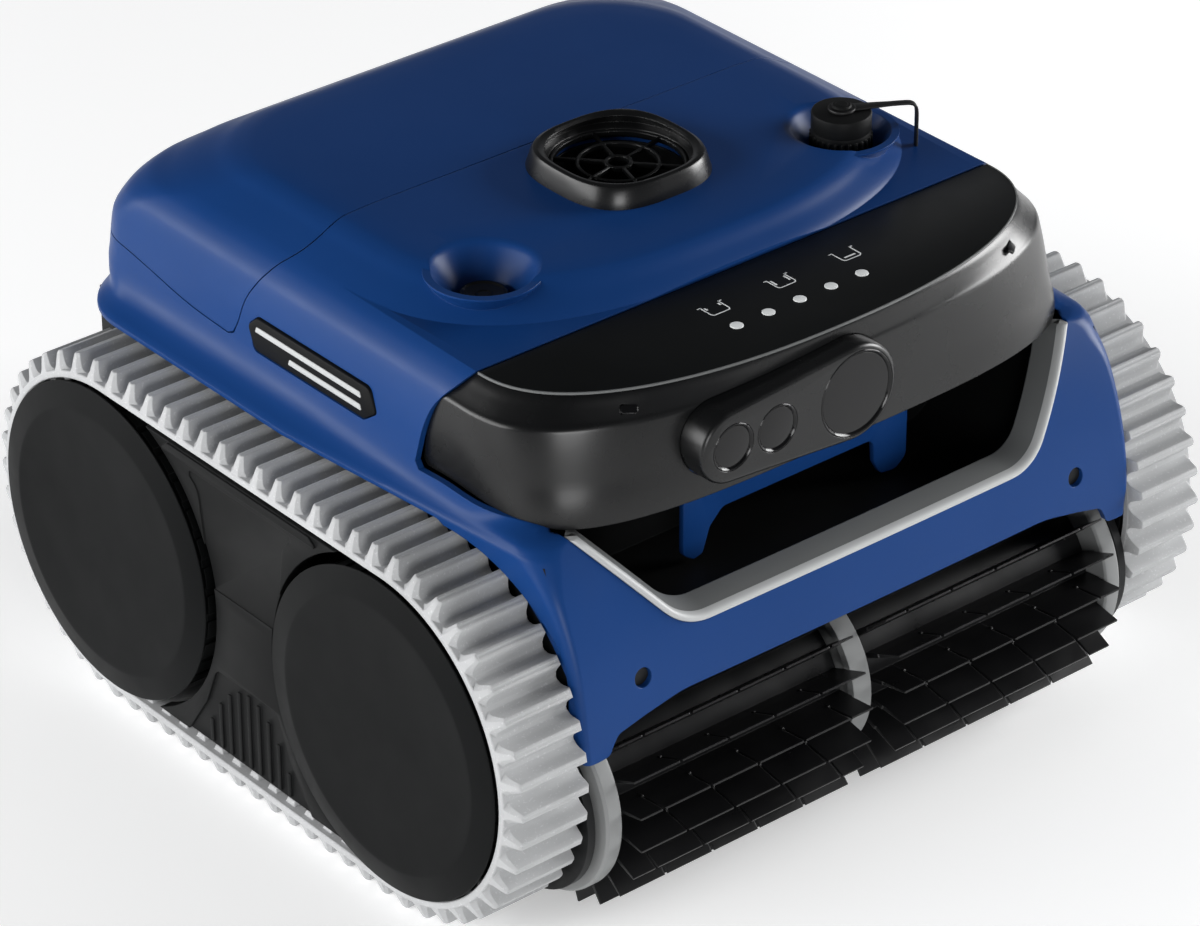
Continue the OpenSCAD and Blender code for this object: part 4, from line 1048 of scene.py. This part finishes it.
def build_strip():
    """Black plate in the side of the shell, with the seats of its two light bars."""
    plate = round_edges(prism("side_strip_skin", side_strip_outline(0), "x", STRIP_X, STRIP_X + 4.6), 0.7)
    return cut(plate, *[strip_bar(end, z, 0, 3.8, 8) for end, z in STRIP_BARS])


def build_strip_bars():
    bars = [round_edges(strip_bar(end, z, 0.2, 3.6, 4.9), 0.25) for end, z in STRIP_BARS]
    return joined("strip_bars", *bars)


place_pair(build_strip(), "{}_side_strip_skin", "root", MATT, "black_matt", "{}_side_strip")
place_pair(build_strip_bars(), "{}_strip_bars", "root", TRIM, "grey_trim")


# ---------- tracks ----------

LUG_H = 8
BELT_R = TRACK_R - LUG_H
BELT_T = 3.5
WHEEL_BASE = REAR_Y - FRONT_Y
BELT_LENGTH = 2 * WHEEL_BASE + math.tau * BELT_R
LUG_COUNT = round(BELT_LENGTH / 13.1)


def belt_place(s):
    """Point and outward normal of the belt loop in side view, s along its outer face."""
    arc = math.pi * BELT_R
    s %= BELT_LENGTH
    if s < WHEEL_BASE:
        return Vector((FRONT_Y + s, AXLE_Z - BELT_R)), Vector((0, -1))
    if s < WHEEL_BASE + arc:
        t = -math.pi / 2 + math.pi * (s - WHEEL_BASE) / arc
        n = Vector((math.cos(t), math.sin(t)))
        return Vector((REAR_Y, AXLE_Z)) + n * BELT_R, n
    if s < 2 * WHEEL_BASE + arc:
        return Vector((REAR_Y - (s - WHEEL_BASE - arc), AXLE_Z + BELT_R)), Vector((0, 1))
    t = math.pi / 2 + math.pi * (s - 2 * WHEEL_BASE - arc) / arc
    n = Vector((math.cos(t), math.sin(t)))
    return Vector((FRONT_Y, AXLE_Z)) + n * BELT_R, n


def build_track():
    rings = []
    steps = LUG_COUNT * 4
    section = [(BELT_IN + 0.5, 0), (BELT_OUT - 0.5, 0), (BELT_OUT, -0.5), (BELT_OUT, -BELT_T + 0.5),
               (BELT_OUT - 0.5, -BELT_T), (BELT_IN + 0.5, -BELT_T), (BELT_IN, -BELT_T + 0.5), (BELT_IN, -0.5)]
    for i in range(steps):
        p, n = belt_place(BELT_LENGTH * i / steps)
        rings.append([(x, *(p + n * h)) for x, h in section])
    parts = [hoop("band", rings)]
    lug = build_lug()
    for i in range(LUG_COUNT):
        p, n = belt_place((i + 0.5) * BELT_LENGTH / LUG_COUNT)
        along = Vector((-n.y, n.x))
        spin = Matrix(((1, 0, 0, 0), (0, along.x, n.x, p.x * MM), (0, along.y, n.y, p.y * MM), (0, 0, 0, 1)))
        twin = copy_of(lug, "lug")
        twin.data.transform(spin)
        parts.append(twin)
    bpy.data.objects.remove(lug)
    track = joined("track", *parts)
    face_outwards(track)
    return track


def build_lug():
    """Outer lug and inner tooth in local axes: X across, Y along the belt, Z outwards."""
    tall = LUG_H - 0.05
    rings = []
    for h, half, inner, outer in ((-0.6, 6.0, 0.2, 0.2), (0.2, 5.2, 0.2, 0.25), (1.2, 4.1, 0.3, 0.7),
                                  (3, 3.3, 0.4, 1.3), (5.4, 2.6, 0.5, 2.2), (tall - 0.6, 2.1, 0.7, 3.0),
                                  (tall, 1.6, 1.1, 3.6)):
        rings.append([(BELT_IN + inner, -half, h), (BELT_OUT - outer - half * 0.5, -half, h),
                      (BELT_OUT - outer, -half * 0.45, h), (BELT_OUT - outer, half * 0.45, h),
                      (BELT_OUT - outer - half * 0.5, half, h), (BELT_IN + inner, half, h)])
    lug = loft("lug", rings)
    ridges = [box("ridge", (BELT_IN + 2, y - 0.3, tall - 0.5), (BELT_OUT - 4.2, y + 0.3, tall + 0.04), 0.12)
              for y in (-0.85, 0.85)]
    tooth = loft("tooth", [level(rectangle(BELT_IN + 3, -3.4, BELT_OUT - 3, 3.4), 0.4 - BELT_T),
                           level(rectangle(BELT_IN + 3.6, -2.4, BELT_OUT - 3.6, 2.4), -BELT_T - 2.2)])
    return joined("lug", lug, round_edges(tooth, 0.3, 1), *ridges)


place_pair(build_track(), "{}_track_belt", "root", TRACK, "track_rubber", "{}_track", angle=35)


# ---------- wheel covers and side covers ----------

COVER_LOW, COVER_HIGH = node_box("front_right_cover")
COVER_R = (COVER_HIGH.z - COVER_LOW.z) / 2
COVER_FACE = COVER_HIGH.x


def cover_profile():
    """Dished disc: thin rim, sloped ring, flat middle with a shallow step."""
    x = COVER_FACE
    rim = BELT_OUT + 0.6
    return [(0, rim - 2.2), (59, rim - 2.2), (60, rim), (COVER_R - 0.6, rim), (COVER_R, rim + 0.35),
            (COVER_R - 0.1, rim + 0.9), (COVER_R - 0.8, rim + 1.25), (COVER_R - 10.6, x - 0.35),
            (COVER_R - 11.4, x - 0.12), (COVER_R - 12.6, x), (COVER_R - 14, x - 0.1), (30, x - 0.15),
            (0, x - 0.15)]


def build_side_cover():
    """Hourglass plate between the wheels, with a ribbed recess below and a ridge on top."""
    low, high = node_box("right_side_cover")
    face = high.x - 2
    reach = COVER_R + 4
    z0, z1 = low.z, high.z
    plate = prism("side_cover_skin", rectangle(FRONT_Y, z0, REAR_Y, z1), "x", face - 6, face + 0.6)
    recess = [(-48, z0 - 5), (48, z0 - 5), (30, z0 + 22), (22, z0 + 42), (-22, z0 + 42), (-30, z0 + 22)]
    cut(plate, prism("recess", rounded(recess, [0, 0, 12, 5, 5, 12]), "x", face - 1.0, face + 6))
    dip = [(-24, z0 + 84), (24, z0 + 84), (30, z1 - 15), (40, z1 - 7.5), (-40, z1 - 7.5), (-30, z1 - 15)]
    cut(plate, prism("dip", rounded(dip, [4, 4, 10, 3, 3, 10]), "x", face - 0.2, face + 6))
    for y in (FRONT_Y, REAR_Y):
        cut(plate, prism("wheel_room", disc_outline(y, AXLE_Z, reach, 160), "x", face - 30, face + 30))
    parts = [round_edges(plate, 0.7)]
    for k in range(-4, 5):
        rib_top = z0 + 39 - k * k * 1.6
        parts.append(box("rib", (face - 1.6, k * 7 - 1.2, z0 + 1.5), (face + 0.1, k * 7 + 1.2, rib_top), 0.5))
    ridge = rounded([(-56, z1 - 4.6), (56, z1 - 4.6), (50, z1 - 0.3), (-50, z1 - 0.3)], 1)
    parts.append(round_edges(prism("ridge", ridge, "x", face, face + 1.9), 0.6))
    for y, r in ((0, 10), (-16, 5), (16, 5)):
        post = [(0, HALF_W + 4.2), (r, HALF_W + 4.2), (r, face - 5.8), (0, face - 5.8)]
        parts.append(lathe("post", post, (0, y, AXLE_Z), "x", 32))
    return joined("side_cover_skin", *parts)


for end, y in (("front", FRONT_Y), ("rear", REAR_Y)):
    cover = lathe("cover", cover_profile(), (0, y, AXLE_Z), "x", 160)
    place_pair(cover, end + "_{}_cover_skin", end + "_{}_wheel_set", WHEEL, "wheel_black", end + "_{}_cover",
               angle=50)
place_pair(build_side_cover(), "{}_side_cover_skin", "root", MATT, "black_matt", "{}_side_cover")


# ---------- brushes ----------

BRUSH_LOW, BRUSH_HIGH = node_box("right_brush")
BRUSH_R = (BRUSH_HIGH.z - BRUSH_LOW.z) / 2
BRUSH_Y = (BRUSH_LOW.y + BRUSH_HIGH.y) / 2
BRUSH_Z = (BRUSH_LOW.z + BRUSH_HIGH.z) / 2
BRUSH_CORE = 36
BRUSH_X0, BRUSH_X1 = 8, node_box("right_brush_disc")[0].x
BLADES = 22


def blade_piece(x0, x1, slit):
    """Tapered blade from x0 to x1 with slits every so often, in local axes: Y across, Z outwards."""
    parts = []
    count = 5
    step = (x1 - x0) / count
    for k in range(count + 1):
        low = max(x0, x0 + (k - slit) * step + 0.5)
        high = min(x1, x0 + (k + 1 - slit) * step - 0.5)
        if high - low < 3:
            continue
        # extra length at each end, half thickness, radius: root, thick foot, thin leaf and its tip
        rows = [(0.5, 1.25, BRUSH_CORE - 1), (0.5, 0.95, BRUSH_CORE + 8), (0, 0.9, BRUSH_CORE + 8.4),
                (-0.3, 0.45, BRUSH_R - 0.1)]
        rings = [level(rectangle(low - more, -half, high + more, half), r) for more, half, r in rows]
        parts.append(loft("leaf", rings))
        if k > 0:
            parts.append(box("stud", (low - 1.1, -1.5, BRUSH_CORE + 6), (low + 0.1, 1.5, BRUSH_CORE + 8), 0.3))
    return joined("blade", *parts)


def build_brush():
    axis = (0, BRUSH_Y, BRUSH_Z)
    r, x0, x1, end = BRUSH_CORE, BRUSH_X0, BRUSH_X1, BRUSH_HIGH.x
    core = [(6, x0 + 4), (r - 5, x0 + 4), (r - 4, x0), (r - 0.6, x0), (r, x0 + 0.6), (r, x1 - 0.6),
            (r - 0.6, x1), (r - 4, x1), (r - 5, x1 - 4), (6, x1 - 4)]
    shaft = [(0, x0 - 6), (5.5, x0 - 6), (6, x0 - 5.5), (6, end - 0.5), (5.5, end), (0, end)]
    parts = [lathe("core", core, axis, "x"), lathe("shaft", shaft, axis, "x", 40)]
    patterns = [blade_piece(x0 + 1, x1 - 1, slit) for slit in (0.0, 0.5)]
    for k in range(BLADES):
        parts.append(turned(copy_of(patterns[k % 2], "blade"), math.tau * k / BLADES, "X", axis))
    for pattern in patterns:
        bpy.data.objects.remove(pattern)
    return joined("brush", *parts)


def build_brush_disc():
    low, high = node_box("right_brush_disc")
    r = (high.z - low.z) / 2
    x0, x1 = low.x, high.x
    profile = [(6.1, x1), (6.1, x1 - 3), (33.5, x1 - 3), (34.5, x0 + 0.1), (r - 1.2, x0 + 0.1),
               (r - 0.3, x0 + 0.9), (r, x0 + 2), (r, x1 - 1.4), (r - 1, x1 - 0.2), (r - 2, x1)]
    return lathe("brush_disc", profile, (0, BRUSH_Y, BRUSH_Z), "x", 120)


place_pair(build_brush(), "{}_brush_skin", "{}_brush_set", BRUSH, "brush_rubber", "{}_brush")
place_pair(build_brush_disc(), "{}_brush_disc_skin", "{}_brush_set", GREY, "grey_trim", "{}_brush_disc")


# ---------- CAD nodes that keep their shape ----------

KEPT = {
    HULL: ["lower_hull", "bottom_plate", "left_side_frame", "right_side_frame", "outlet_duct",
           "electronics_box", "box_cover", "filter_basket", "intake_flap", "housing_screws"],
    MATT: ["handle_liner"],
    WHEEL: ["front_left_wheel", "front_right_wheel", "rear_left_wheel", "rear_right_wheel"],
    GREY: ["brush_bearing"],
    NYLON: ["left_motor_pinion", "right_motor_pinion", "left_brush_gear", "right_brush_gear"],
    STEEL: ["lid_hinge_pin", "wheel_axles"],
    MOTOR: ["pump_motor", "left_drive_motor", "right_drive_motor"],
    BATTERY: ["battery_pack"],
    BOARD: ["control_board"],
    MESH: ["filter_mesh"],
}
for mat, names in KEPT.items():
    for slot in (slot for name in names for slot in NODES[name].material_slots):
        slot.material = mat


# ---------- floor, light and camera ----------

def floor_material():
    mat = bpy.data.materials.new("floor_white")
    mat.use_nodes = True
    shader = mat.node_tree.nodes["Principled BSDF"]
    shader.inputs["Base Color"].default_value = (0.86, 0.86, 0.86, 1)
    shader.inputs["Roughness"].default_value = 0.7
    shader.inputs["Emission Color"].default_value = (1, 1, 1, 1)
    shader.inputs["Emission Strength"].default_value = 0.35
    return mat


FLOOR_W = 12000
corners = rectangle(-FLOOR_W / 2, -FLOOR_W / 2, FLOOR_W / 2, FLOOR_W / 2)
floor = new_object("floor", level(corners, 0), [[0, 1, 2, 3]])
floor.data.materials.append(floor_material())


def softbox(name, place, aim, width, height, power):
    data = bpy.data.lights.new(name, "AREA")
    data.shape = "RECTANGLE"
    data.size, data.size_y = width, height
    data.energy = power
    lamp = bpy.data.objects.new(name, data)
    bpy.context.scene.collection.objects.link(lamp)
    lamp.location = place
    lamp.rotation_euler = (Vector(aim) - Vector(place)).to_track_quat("-Z", "Y").to_euler()


AIM = (0, 0, 0.12)
softbox("left_softbox", (-2.3, 0.5, 0.9), AIM, 1.8, 1.2, 46)
softbox("right_softbox", (2.2, -0.9, 0.75), AIM, 1.2, 1.1, 70)
softbox("back_softbox", (-1.9, 2.0, 0.8), AIM, 1.4, 0.9, 30)
softbox("front_softbox", (-1.3, -2.3, 0.6), AIM, 1.0, 0.8, 24)


def studio_world():
    """Light grey round the horizon that darkens overhead."""
    world = bpy.data.worlds.new("studio")
    bpy.context.scene.world = world
    world.use_nodes = True
    tree = world.node_tree
    place = tree.nodes.new("ShaderNodeTexCoord").outputs["Generated"]
    split = tree.nodes.new("ShaderNodeSeparateXYZ")
    ramp = tree.nodes.new("ShaderNodeMapRange")
    ramp.inputs["From Min"].default_value = 0.0
    ramp.inputs["From Max"].default_value = 0.55
    ramp.inputs["To Min"].default_value = 0.34
    ramp.inputs["To Max"].default_value = 0.08
    tree.links.new(place, split.inputs["Vector"])
    tree.links.new(split.outputs["Z"], ramp.inputs["Value"])
    tree.links.new(ramp.outputs["Result"], tree.nodes["Background"].inputs["Strength"])
    tree.nodes["Background"].inputs["Color"].default_value = (0.94, 0.96, 1, 1)


studio_world()
bpy.context.scene.view_settings.view_transform = "Standard"

CAMERA_AZIMUTH = math.radians(-39.942)
CAMERA_ELEVATION = math.radians(30.571)
CAMERA_DISTANCE = 2.26048
CAMERA_TARGET = Vector((0, 0, 0.11))
back = Vector((math.sin(CAMERA_AZIMUTH) * math.cos(CAMERA_ELEVATION),
               -math.cos(CAMERA_AZIMUTH) * math.cos(CAMERA_ELEVATION), math.sin(CAMERA_ELEVATION)))
camera_data = bpy.data.cameras.new("camera")
camera_data.sensor_width = 36
camera_data.lens = 151.68
camera_data.shift_x = 0.00317
camera_data.shift_y = -0.02248
camera_data.clip_end = 50
camera = bpy.data.objects.new("camera", camera_data)
bpy.context.scene.collection.objects.link(camera)
camera.location = CAMERA_TARGET + back * CAMERA_DISTANCE
camera.rotation_euler = (-back).to_track_quat("-Z", "Y").to_euler()
bpy.context.scene.camera = camera
